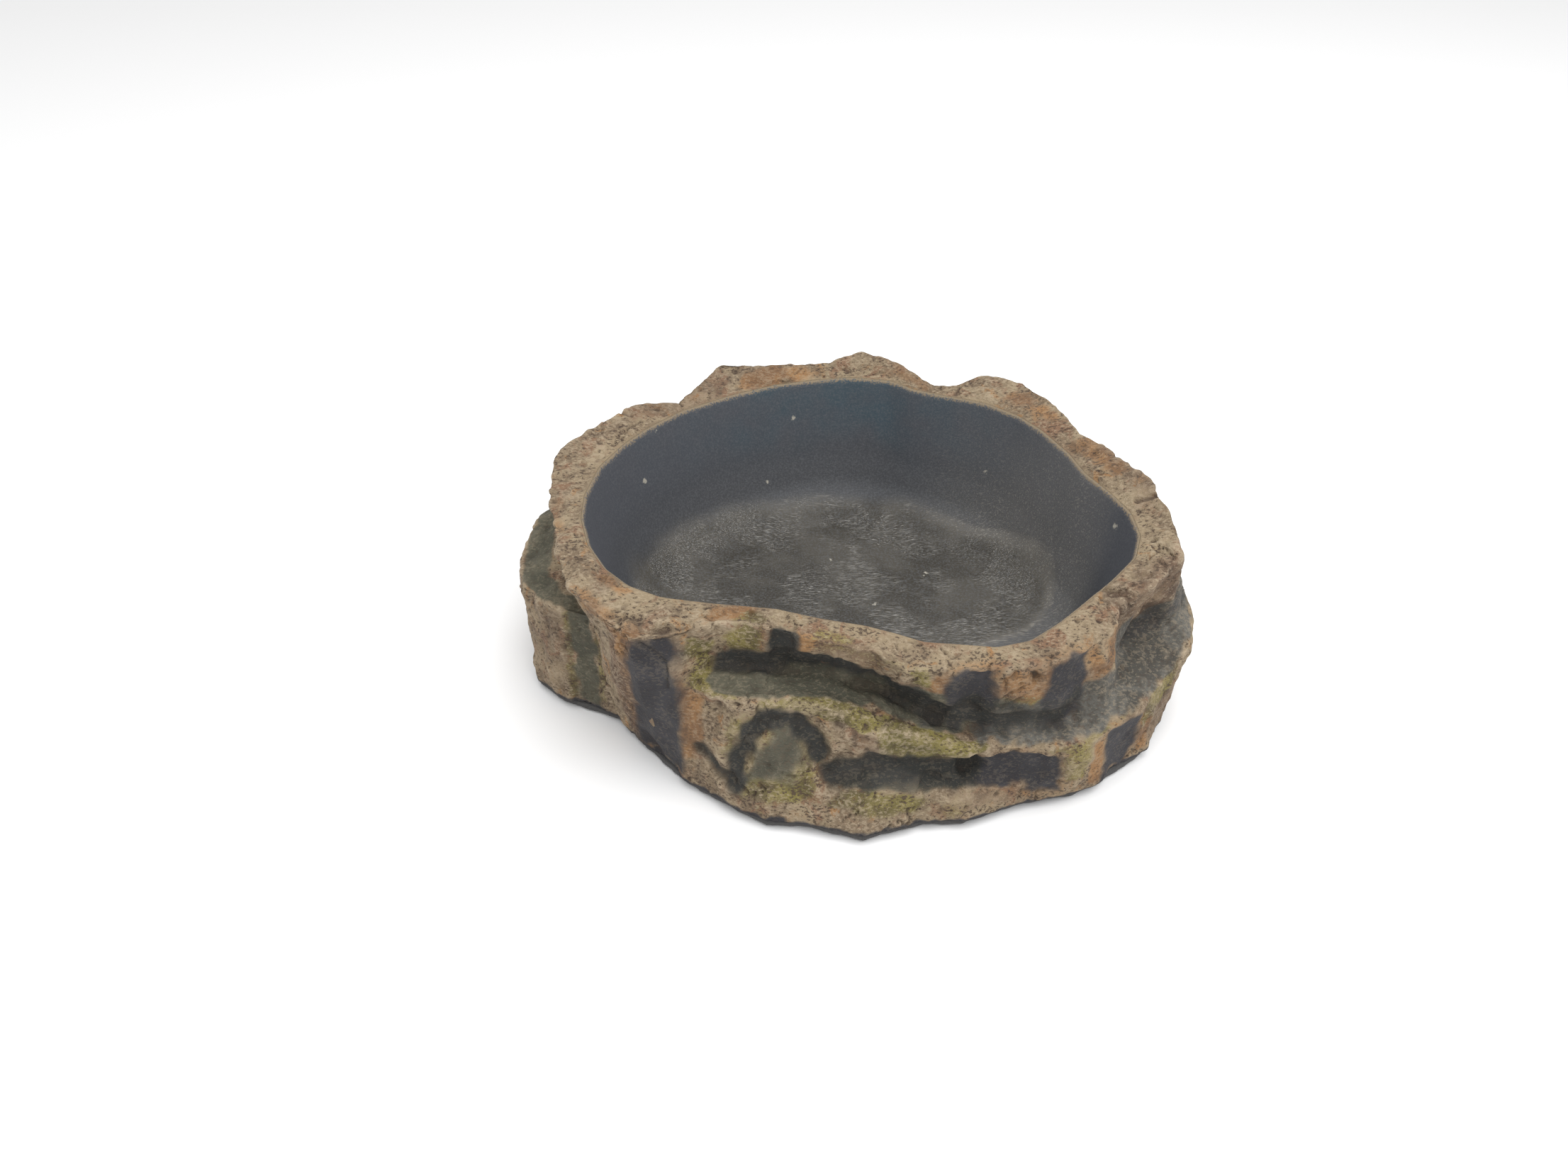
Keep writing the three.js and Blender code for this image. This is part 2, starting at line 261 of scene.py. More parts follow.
class Skin:
    """The grid of points over the rock's outside, with its own measures along and up it."""

    mm_per_degree = 2.0

    def __init__(self, angles: np.ndarray, rows_per_band: tuple[int, int, int, int]) -> None:
        """Lays out the smooth skin.

        Args:
            angles: Where the sections stand, in degrees, (n,).
            rows_per_band: How many rows of points each band has.
        """
        self.angles = angles
        rings = [on_outline(o, angles) for o in (FOOT, LEDGE_EDGE, LEDGE_CORNER, BROW, RIM_EDGE)]
        self.spans = np.stack([
            np.linalg.norm(b - a, axis=1) for a, b in zip(rings[:-1], rings[1:])
        ], -1)
        steps = [k + np.arange(n) / n for k, n in enumerate(rows_per_band)]
        self.bands = np.append(np.concatenate(steps), 4.0)
        first = np.minimum(self.bands.astype(int), 3)
        share = (self.bands - first)[None, :, None]
        stack = np.stack(rings, 1)
        self.points = stack[:, first] * (1 - share) + stack[:, first + 1] * share
        self.height_up = self.up(np.arange(len(angles))[:, None], self.bands[None, :])
        self.relax(6)

    def up(self, column: np.ndarray, band: np.ndarray) -> np.ndarray:
        """How far up its section a band lies, in mm along the skin."""
        spans = self.spans[column]
        return sum(spans[..., k] * np.clip(band - k, 0, 1) for k in range(self.spans.shape[1]))

    def relax(self, rounds: int) -> None:
        """Rounds off the skin's edges a little, in place."""
        for _ in range(rounds):
            self.points = blurred(self.points)

    def normals(self) -> np.ndarray:
        """Works out which way the skin faces.

        Returns:
            A direction at each point, (n, m, 3).
        """
        along = np.roll(self.points, -1, 0) - np.roll(self.points, 1, 0)
        up = np.gradient(self.points, axis=1)
        cross = np.cross(along, up)
        return cross / np.maximum(np.linalg.norm(cross, axis=2, keepdims=True), 1e-9)

    def flattened(self, spots: tuple[Spot, ...]) -> tuple[np.ndarray, np.ndarray]:
        """Puts spots and skin on one flat sheet, laid out round the spots.

        Args:
            spots: Places as (angle, band).

        Returns:
            The skin's points on the sheet (n, m, 2) and the spots on it (k, 2), in mm.
        """
        middle = sum(angle for angle, _ in spots) / len(spots)
        off = (self.angles - middle + 180) % 360 - 180
        sheet = np.stack(np.broadcast_arrays(
            off[:, None] * self.mm_per_degree, self.height_up,
        ), -1)
        order = np.argsort(self.angles)
        nearest = [
            order[np.searchsorted(self.angles[order], (a + 180) % 360 - 180) % len(order)]
            for a, _ in spots
        ]
        placed = np.array([
            ((angle - middle) * self.mm_per_degree, float(self.up(np.array(column), band)))
            for (angle, band), column in zip(spots, nearest)
        ])
        return sheet, placed

    def near_path(self, path: tuple[Spot, ...]) -> np.ndarray:
        """The distance from each skin point to a path, in mm, (n, m)."""
        sheet, spots = self.flattened(path)
        return np.min([reach_of(sheet, a, b) for a, b in zip(spots[:-1], spots[1:])], axis=0)

    def inside(self, corners: tuple[Spot, ...]) -> np.ndarray:
        """Works out how far inside an area each skin point lies.

        Args:
            corners: The area's corners, as (angle, band).

        Returns:
            Distances to its border in mm, below zero outside it, (n, m).
        """
        sheet, spots = self.flattened(corners)
        edges = list(zip(spots, np.roll(spots, -1, 0)))
        away = np.min([reach_of(sheet, a, b) for a, b in edges], axis=0)
        within = np.zeros(away.shape, dtype=bool)
        for (ax, ay), (bx, by) in edges:
            crosses = (ay > sheet[..., 1]) != (by > sheet[..., 1])
            run = (sheet[..., 1] - ay) / (by - ay if by != ay else 1e-9)
            within ^= crosses & (sheet[..., 0] < ax + (bx - ax) * run)
        return np.where(within, away, -away)


def reach_of(sheet: np.ndarray, start: np.ndarray, end: np.ndarray) -> np.ndarray:
    """Measures how far each point of a flat sheet is from a straight run.

    Args:
        sheet: Points, (n, m, 2).
        start: Where the run starts, (2,).
        end: Where it ends, (2,).

    Returns:
        Distances, (n, m).
    """
    run = end - start
    share = np.clip(((sheet - start) @ run) / max(run @ run, 1e-9), 0, 1)
    return np.linalg.norm(sheet - start - share[..., None] * run, axis=-1)


def blurred(grid: np.ndarray) -> np.ndarray:
    """Evens out a grid, one round.

    Args:
        grid: Points of a grid that closes on itself along its first axis, (n, m, 3).

    Returns:
        The evened points, (n, m, 3).
    """
    out = grid * 0.5
    out += (np.roll(grid, 1, 0) + np.roll(grid, -1, 0)) * 0.125
    inner = np.concatenate([grid[:, :1], grid, grid[:, -1:]], axis=1)
    out += (inner[:, :-2] + inner[:, 2:]) * 0.125
    return out


# ---------- building meshes ----------


def ring_faces(columns: int, rows: int, closed: bool) -> np.ndarray:
    """The four-sided faces of a grid that closes on itself along its columns.

    Args:
        columns: How many columns the grid has.
        rows: How many rows it has.
        closed: Whether the last row also joins the first.

    Returns:
        Point numbers, (faces, 4), for points numbered column by column.
    """
    column, row = np.meshgrid(
        np.arange(columns), np.arange(rows if closed else rows - 1), indexing="ij",
    )
    beside, above = (column + 1) % columns, (row + 1) % rows
    return np.stack([
        column * rows + row, beside * rows + row, beside * rows + above, column * rows + above,
    ], -1).reshape(-1, 4)


def make_piece(
    name: str, points: np.ndarray, faces: list[tuple[int, ...]], masks: dict[str, np.ndarray],
) -> bpy.types.Object:
    """Makes a smooth mesh object at the origin.

    Args:
        name: The piece's name.
        points: Its points in mm, (n, 3).
        faces: Its faces' point numbers.
        masks: A number at every point for each name, (n,).

    Returns:
        The new object.
    """
    mesh = bpy.data.meshes.new(name)
    mesh.from_pydata((points * MM).tolist(), [], faces)
    for label, values in masks.items():
        layer = mesh.attributes.new(label, "FLOAT", "POINT")
        layer.data.foreach_set("value", values.astype(np.float32).ravel())
    mesh.shade_smooth()
    mesh.validate()
    piece = bpy.data.objects.new(name, mesh)
    bpy.context.scene.collection.objects.link(piece)
    return piece


def settle(piece: bpy.types.Object, node: str, finish: bpy.types.Material) -> None:
    """Dresses a piece and says which solid it stands for.

    Args:
        piece: The piece.
        node: The solid's name.
        finish: Its material.
    """
    piece.data.materials.append(finish)
    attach(piece, ROOT)
    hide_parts(node)
    LOG.info("%s: %d points, for %s", piece.name, len(piece.data.vertices), node)


# ---------- node helpers ----------


def linear(code: str) -> tuple[float, float, float, float]:
    """Turns an sRGB hex colour into a linear one.

    Args:
        code: The colour, such as "#a08f6b".

    Returns:
        Red, green, blue and full alpha.
    """
    shares = [int(code[i:i + 2], 16) / 255 for i in (1, 3, 5)]
    red, green, blue = (s / 12.92 if s <= 0.04045 else ((s + 0.055) / 1.055) ** 2.4 for s in shares)
    return red, green, blue, 1.0


def add(
    tree: bpy.types.NodeTree, kind: str, settings: dict | None = None, links: dict | None = None,
) -> bpy.types.Node:
    """Adds a node to a material.

    Args:
        tree: The material's nodes.
        kind: The node's type, without its "ShaderNode".
        settings: The node's own options, by name.
        links: What each input gets, by name or number: a value, or another node's output.

    Returns:
        The new node.
    """
    node = tree.nodes.new("ShaderNode" + kind)
    for name, value in (settings or {}).items():
        setattr(node, name, value)
    for key, value in (links or {}).items():
        if isinstance(value, bpy.types.NodeSocket):
            tree.links.new(value, node.inputs[key])
        else:
            node.inputs[key].default_value = value
    return node


COLOUR = {"data_type": "RGBA"}
MIX_A, MIX_B, MIX_OUT = 6, 7, 2  # a colour Mix node's own sockets
SOFT = {"interpolation_type": "SMOOTHSTEP"}


def blank(name: str) -> tuple[bpy.types.Material, bpy.types.NodeTree, bpy.types.NodeSocket]:
    """Starts a material, with only the nodes that give places in mm.

    Args:
        name: The material's name.

    Returns:
        The material, its nodes and the places.
    """
    made = bpy.data.materials.new(name)
    made.use_nodes = True
    tree = made.node_tree
    tree.nodes.clear()
    place = add(tree, "TexCoord").outputs["Object"]
    mm = add(tree, "VectorMath", {"operation": "SCALE"}, {0: place, "Scale": 1 / MM}).outputs[0]
    return made, tree, mm


def dress(
    tree: bpy.types.NodeTree, height: bpy.types.NodeSocket, strength: float, relief: float, inputs: dict,
) -> None:
    """Ends a material with its bump and its shader.

    Args:
        tree: The material's nodes.
        height: What the bump follows.
        strength: How strongly the bump shows.
        relief: How high the bump stands, in mm.
        inputs: The shader's other inputs, by name.
    """
    bump = add(tree, "Bump", {}, {"Strength": strength, "Distance": relief * MM, "Height": height}).outputs[0]
    shader = add(tree, "BsdfPrincipled", {}, {**inputs, "Normal": bump})
    add(tree, "OutputMaterial", {}, {"Surface": shader.outputs[0]})


# ---------- finishes ----------


@dataclass(frozen=True)
class Coat:
    """One paint on the rock: two tones, how its border breaks up, and how far pits show."""

    light: str
    dark: str
    sponged: float  # 0 is a sprayed, even border; 1 is dabbed on, and breaks into specks
    pitted: float


@dataclass(frozen=True)
class PaintedRock:
    """Cold-cast polyester resin, moulded from rock and painted by hand: a dull, pitted stone look.

    The sand coat is dry-brushed over dark brown, so that pits stay dark and high spots pale.
    """

    sand_light: str = "#8e7e66"
    sand_dark: str = "#746451"
    pink: str = "#7c614c"
    tan: str = "#916e4a"
    pit: str = "#4a3d33"
    crest: str = "#a79780"
    crust_size: float = 1.2  # mm, the crumbly pits and crests
    crust_shape: tuple[float, float, float] = (0.72, 1.1, 1.25)  # below 1 is drawn out, over 1 packed
    crowd_size: float = 11.0  # mm, where pits gather
    blotch_size: float = 21.0  # mm, the sand coat's two tones
    flush_size: float = 12.6  # mm, its pink and tan areas
    relief: float = 0.9  # mm
    ior: float = 1.5

    coats: ClassVar[dict[Paint, Coat]] = {
        Paint.UMBER: Coat("#705a48", "#554438", 0.6, 0.85),
        Paint.OCHRE: Coat("#94714d", "#765a41", 0.5, 0.6),
        Paint.MOSS: Coat("#7d7343", "#554d31", 0.62, 0.95),
        Paint.SAGE: Coat("#5d5a4c", "#47463b", 0.2, 0.35),
        Paint.GREY: Coat("#63615b", "#46443f", 0.3, 0.5),
        Paint.SLATE: Coat("#3e3d40", "#333235", 0.14, 0.2),
        # near-black coat: partly dark paint, partly painted shade in the hollows
        Paint.BLACK_AND_SHADE: Coat("#363634", "#2a2b29", 0.2, 0.2),
    }

    def material(self) -> bpy.types.Material:
        """Builds the material's nodes: sand coat, paints, dry-brushed crests, dark pits.

        Returns:
            The new material.
        """
        made, tree, mm = blank("painted_cast_resin_rock")
        drawn = add(tree, "VectorMath", {"operation": "MULTIPLY"}, {0: mm, 1: self.crust_shape}).outputs[0]
        crust, crowd, blotch, flush = (
            add(tree, "TexNoise", {}, {
                "Vector": place, "Scale": 1 / size, "Detail": detail, "Roughness": 0.62, "Distortion": warp,
            }).outputs[0]
            for place, size, detail, warp in (
                (drawn, self.crust_size, 2.0, 0.25), (mm, self.crowd_size, 2.0, 0.4),
                (mm, self.blotch_size, 5.0, 0.6), (mm, self.flush_size, 4.0, 0.9),
            )
        )
        rough_up = add(tree, "Math", {"operation": "MULTIPLY_ADD"}, {0: crowd, 1: 0.5, 2: crust}).outputs[0]
        pit, crest, tone, pink, tan = (
            add(tree, "MapRange", SOFT, {0: value, "From Min": low, "From Max": high}).outputs[0]
            for value, low, high in (
                (rough_up, 0.67, 0.61), (rough_up, 0.77, 0.88), (blotch, 0.4, 0.6),
                (flush, 0.52, 0.66), (flush, 0.42, 0.3),
            )
        )
        mask = {
            name: add(tree, "Attribute", {"attribute_name": name}).outputs["Fac"]
            for name in ("lively", "proud", "hollow", *(paint.value for paint in Paint))
        }
        colour = linear(self.sand_dark)
        for share, code in ((tone, self.sand_light), (pink, self.pink), (tan, self.tan)):
            colour = add(tree, "Mix", COLOUR, {0: share, MIX_A: colour, MIX_B: linear(code)}).outputs[MIX_OUT]
        pitted = mask["lively"]
        for paint, coat in self.coats.items():
            broken = add(tree, "Math", {"operation": "MULTIPLY_ADD"}, {
                0: crust, 1: coat.sponged * 2.2, 2: mask[paint.value],
            }).outputs[0]
            middle, half = 0.5 + coat.sponged * 1.1, 0.5 - coat.sponged * 0.4
            cover = add(tree, "MapRange", SOFT, {
                0: broken, "From Min": middle - half, "From Max": middle + half,
            }).outputs[0]
            shade = add(tree, "Mix", COLOUR, {
                0: tone, MIX_A: linear(coat.dark), MIX_B: linear(coat.light),
            }).outputs[MIX_OUT]
            colour = add(tree, "Mix", COLOUR, {0: cover, MIX_A: colour, MIX_B: shade}).outputs[MIX_OUT]
            pitted = add(tree, "Mix", {}, {0: cover, 2: pitted, 3: coat.pitted}).outputs[0]
        for fine, share, coarse, code in (
            (crest, 0.5, mask["proud"], self.crest), (pit, 0.85, mask["hollow"], self.pit),
        ):
            both = add(tree, "Math", {"operation": "MULTIPLY_ADD"}, {0: fine, 1: share, 2: coarse}).outputs[0]
            seen = add(tree, "Math", {"operation": "MULTIPLY", "use_clamp": True}, {
                0: both, 1: pitted,
            }).outputs[0]
            colour = add(tree, "Mix", COLOUR, {0: seen, MIX_A: colour, MIX_B: linear(code)}).outputs[MIX_OUT]
        rough = add(tree, "MapRange", {}, {0: crust, "To Min": 0.72, "To Max": 0.92}).outputs[0]
        dress(tree, rough_up, 0.8, self.relief, {
            "Base Color": colour, "Roughness": rough, "IOR": self.ior, "Specular IOR Level": 0.3,
        })
        return made


@dataclass(frozen=True)
class SealedBasin:
    """Smooth cast resin, sprayed slate over grey-brown, dry-brushed and sealed: a satin surface."""

    cream: str = "#83745e"
    upper: str = "#4b4d53"
    teal: str = "#3f4d56"
    lower: str = "#424346"
    grain: str = "#65676a"
    floor_dark: str = "#37332c"
    floor_light: str = "#4a463f"
    ring: str = "#8b867d"
    stroke: str = "#93908a"
    fleck: str = "#a9a498"
    cloud_size: float = 26.0  # mm, the floor's two tones
    grain_size: float = 0.9  # mm
    fleck_gap: float = 24.0  # mm, between flecks of stray paint
    stroke_length: float = 3.2  # mm
    stroke_width: float = 0.3  # mm
    stroke_sway: float = 9.0  # mm, how far the strokes curve away from straight
    relief: float = 0.2  # mm
    ior: float = 1.5

    def material(self) -> bpy.types.Material:
        """Builds the material's nodes: wall, floor, dusted arc, strokes, grain, flecks and lip.

        Returns:
            The new material.
        """
        made, tree, mm = blank("sealed_cast_resin_basin")
        mask = {
            name: add(tree, "Attribute", {"attribute_name": name}).outputs["Fac"]
            for name in ("deep", "teal", "level", "ring", "worn")
        }
        cloud, fine = (
            add(tree, "TexNoise", {}, {
                "Vector": mm, "Scale": 1 / size, "Detail": detail, "Roughness": rough,
            }).outputs[0]
            for size, detail, rough in ((self.cloud_size, 4.0, 0.6), (self.grain_size, 3.0, 0.7))
        )
        frayed = add(tree, "Math", {"operation": "MULTIPLY_ADD"}, {
            0: fine, 1: -0.1, 2: mask["deep"],
        }).outputs[0]
        patchy, low, grain, lip = (
            add(tree, "MapRange", SOFT, {
                0: value, "From Min": start, "From Max": end, "To Max": most,
            }).outputs[0]
            for value, start, end, most in (
                (cloud, 0.4, 0.62, 1.0), (mask["deep"], 0.25, 0.85, 1.0), (fine, 0.42, 0.68, 0.42),
                (frayed, -0.02, -0.045, 1.0),
            )
        )
        streak, haze = self.strokes(tree, mm, 1.0), self.strokes(tree, mm, 2.6)
        swept = add(tree, "Math", {"operation": "MULTIPLY_ADD"}, {0: haze, 1: 0.9, 2: 0.62}).outputs[0]
        dusted = add(tree, "Math", {"operation": "MULTIPLY", "use_clamp": True}, {
            0: mask["ring"], 1: swept,
        }).outputs[0]
        streaky = add(tree, "Math", {"operation": "MULTIPLY_ADD"}, {0: haze, 1: 0.3, 2: streak}).outputs[0]
        marks = add(tree, "Math", {"operation": "MULTIPLY"}, {0: streaky, 1: mask["worn"]}).outputs[0]
        torn = add(tree, "VectorMath", {"operation": "MULTIPLY_ADD"}, {
            0: add(tree, "TexNoise", {}, {"Vector": mm, "Scale": 0.7}).outputs[1], 1: (3.0, 3.0, 3.0), 2: mm,
        }).outputs[0]
        spots = add(tree, "TexVoronoi", {"feature": "F1"}, {
            "Vector": torn, "Scale": 1 / self.fleck_gap,
        }).outputs[0]
        fleck = add(tree, "MapRange", {}, {0: spots, "From Min": 0.06, "From Max": 0.03}).outputs[0]
        floor = add(tree, "Mix", COLOUR, {
            0: patchy, MIX_A: linear(self.floor_dark), MIX_B: linear(self.floor_light),
        }).outputs[MIX_OUT]
        colour = linear(self.upper)
        for share, over in (
            (mask["teal"], linear(self.teal)), (low, linear(self.lower)), (mask["level"], floor),
            (dusted, linear(self.ring)), (marks, linear(self.stroke)), (grain, linear(self.grain)),
            (fleck, linear(self.fleck)), (lip, linear(self.cream)),
        ):
            colour = add(tree, "Mix", COLOUR, {0: share, MIX_A: colour, MIX_B: over}).outputs[MIX_OUT]
        rough = add(tree, "MapRange", {}, {0: fine, "To Min": 0.5, "To Max": 0.72}).outputs[0]
        height = add(tree, "Math", {"operation": "MULTIPLY_ADD"}, {0: marks, 1: 0.6, 2: fine}).outputs[0]
        dress(tree, height, 0.35, self.relief, {
            "Base Color": colour, "Roughness": rough, "IOR": self.ior, "Specular IOR Level": 0.35,
        })
        return made

    def strokes(
        self, tree: bpy.types.NodeTree, mm: bpy.types.NodeSocket, size: float,
    ) -> bpy.types.NodeSocket:
        """Adds the mask of dry-brush strokes, which sweep from left to right.

        Args:
            tree: The material's nodes.
            mm: Places in mm.
            size: How much longer and wider they are than the finest ones.

        Returns:
            The mask, from 0 to 1.
        """
        sway = add(tree, "TexNoise", {}, {"Vector": mm, "Scale": 1 / 32.0}).outputs[1]
        swept = add(tree, "VectorMath", {"operation": "MULTIPLY_ADD"}, {
            0: sway, 1: (self.stroke_sway,) * 3, 2: mm,
        }).outputs[0]
        along, across = 1 / (self.stroke_length * size), 1 / (self.stroke_width * size)
        drawn = add(tree, "VectorMath", {"operation": "MULTIPLY"}, {
            0: swept, 1: (along, across, across),
        }).outputs[0]
        hair = add(tree, "TexNoise", {}, {
            "Vector": drawn, "Scale": 1.0, "Detail": 2.0, "Roughness": 0.5,
        }).outputs[0]
        return add(tree, "MapRange", SOFT, {0: hair, "From Min": 0.54, "From Max": 0.7}).outputs[0]


@dataclass(frozen=True)
class SpeckledFinish:
    """A plain dull surface with a fine grain: filled resin, or closed-cell foam rubber."""

    name: str
    light: str
    dark: str
    grain: float  # mm
    relief: float  # mm
    rough: float

    def material(self) -> bpy.types.Material:
        """Builds the material's nodes.

        Returns:
            The new material.
        """
        made, tree, mm = blank(self.name)
        grain = add(tree, "TexNoise", {}, {
            "Vector": mm, "Scale": 1 / self.grain, "Detail": 4.0, "Roughness": 0.65,
        }).outputs[0]
        colour = add(tree, "Mix", COLOUR, {
            0: grain, MIX_A: linear(self.dark), MIX_B: linear(self.light),
        }).outputs[MIX_OUT]
        dress(tree, grain, 0.6, self.relief, {"Base Color": colour, "Roughness": self.rough})
        return made


# Stone-filled polyester, cast flat and sanded: an even dark grey with pale grains of filler.
BACKING = SpeckledFinish("filled_resin_backing", "#54524f", "#38383a", 1.4, 0.25, 0.85)
# Closed-cell foam rubber, die-cut: near black, with a fine open grain.
FOAM = SpeckledFinish("foam_rubber_pad", "#2b2b2c", "#161617", 0.6, 0.15, 0.95)


# ---------- the rock ----------


def skin_angles(front_step: float, back_step: float) -> np.ndarray:
    """Angles round the dish, closer together over the worn front and the sides."""
    return np.concatenate([np.arange(-186.0, 6.0, front_step), np.arange(6.0, 174.0, back_step)])


# A fifth number, where given, is near-black sprayed into the groove: dark paint, and painted shade in the
# hollow.
GROOVES: tuple[Groove, ...] = (
    # the arch, and the short gully at its foot
    Groove(((-113.4, 0.22), (-113.2, 0.48), (-110.8, 0.73), (-107, 0.88), (-102.3, 0.88), (-99, 0.76),
           (-97.2, 0.64)), 7.4, 3.0, 0.1, 0.95),
    Groove(((-122, 0.43), (-119.5, 0.41), (-116.8, 0.31), (-114.5, 0.22)), 4.6, 1.6, 0.1, 0.8),
    # the lower recess
    Groove(((-94.5, 0.45), (-91, 0.56), (-87, 0.63), (-80, 0.62), (-73, 0.6),
           (-67, 0.66)), 7.6, 4.2, 0.2, 0.9),
    Groove(((-76, 0.44), (-71, 0.42)), 5.0, 2.5, 0.3, 0.3),
    Groove(((-66, 0.66), (-60, 0.66), (-54, 0.6)), 8.0, 2.8, 0.6),
    # the square notch and the deep shade under the rim
    Groove(((-107.6, 2.3), (-107.2, 3.3)), 7.4, 1.8, 0.5),
    Groove(((-121.5, 2.08), (-112, 2.2), (-100, 2.3), (-90, 2.25), (-80, 2.2),
           (-72, 2.1)), 8.0, 2.2, 0.4),
    Groove(((-72, 2.1), (-60, 2.1), (-48, 2.1)), 7.0, 2.0, 0.3),
    # scoops under the brow, and one deep pit
    Groove(((-66, 2.4), (-66, 2.85)), 10.5, 3.2, 0.1),
    Groove(((-45.5, 2.2), (-46.5, 2.75)), 9.5, 2.8, 0.1),
    Groove(((-56.6, 2.86), (-55.9, 2.8)), 2.9, 2.8, 0.3, 1.0),
    # the column: a broad scoop and a crack
    Groove(((-130, 2.8), (-131, 1.5), (-132, 0.2)), 15.0, 2.4, 0.5),
    Groove(((-130.5, 2.75), (-128.5, 2.45), (-126.9, 2.2), (-126.4, 1.9),
           (-127.2, 1.4)), 0.9, 0.9, 0.2, 0.5),
    # the right-hand corner
    Groove(((-40, 0.8), (-39, 0.05)), 10.0, 2.0, 0.2),
    Groove(((-155, 0.05), (-155, 1.6)), 7.0, 1.5, 0.6),
    # pits and gullies in the rim
    Groove(((-31.5, 3.3), (-30.5, 3.65)), 3.2, 2.4, 0.2, 0.25),
    Groove(((-26, 3.3), (-25, 3.55)), 2.8, 1.8, 0.2, 0.25),
    Groove(((-19, 3.15), (-18, 3.5)), 3.0, 1.8, 0.2, 0.25),
    Groove(((-3.8, 3.05), (-3.6, 3.6)), 1.8, 1.4, 0.2, 0.25),
    Groove(((-138, 3.2), (-134, 3.35), (-130, 3.3)), 3.0, 1.2, 0.2),
    Groove(((-125, 3.5), (-119, 3.35), (-113, 3.2)), 4.0, 1.4, 0.2),
    # bulges: the lip of the ledge and the boulder in the arch
    Groove(((-120, 1.02), (-108, 1.04), (-95, 1.06), (-85, 1.0), (-75, 0.95),
           (-68, 0.92)), 6.0, -1.8, 0.2),
    Groove(((-105, 0.55), (-103, 0.45)), 11.0, -2.4, 0.1),
    Groove(((-90, 0.86), (-84, 0.88)), 6.0, -1.6, 0.2),
)

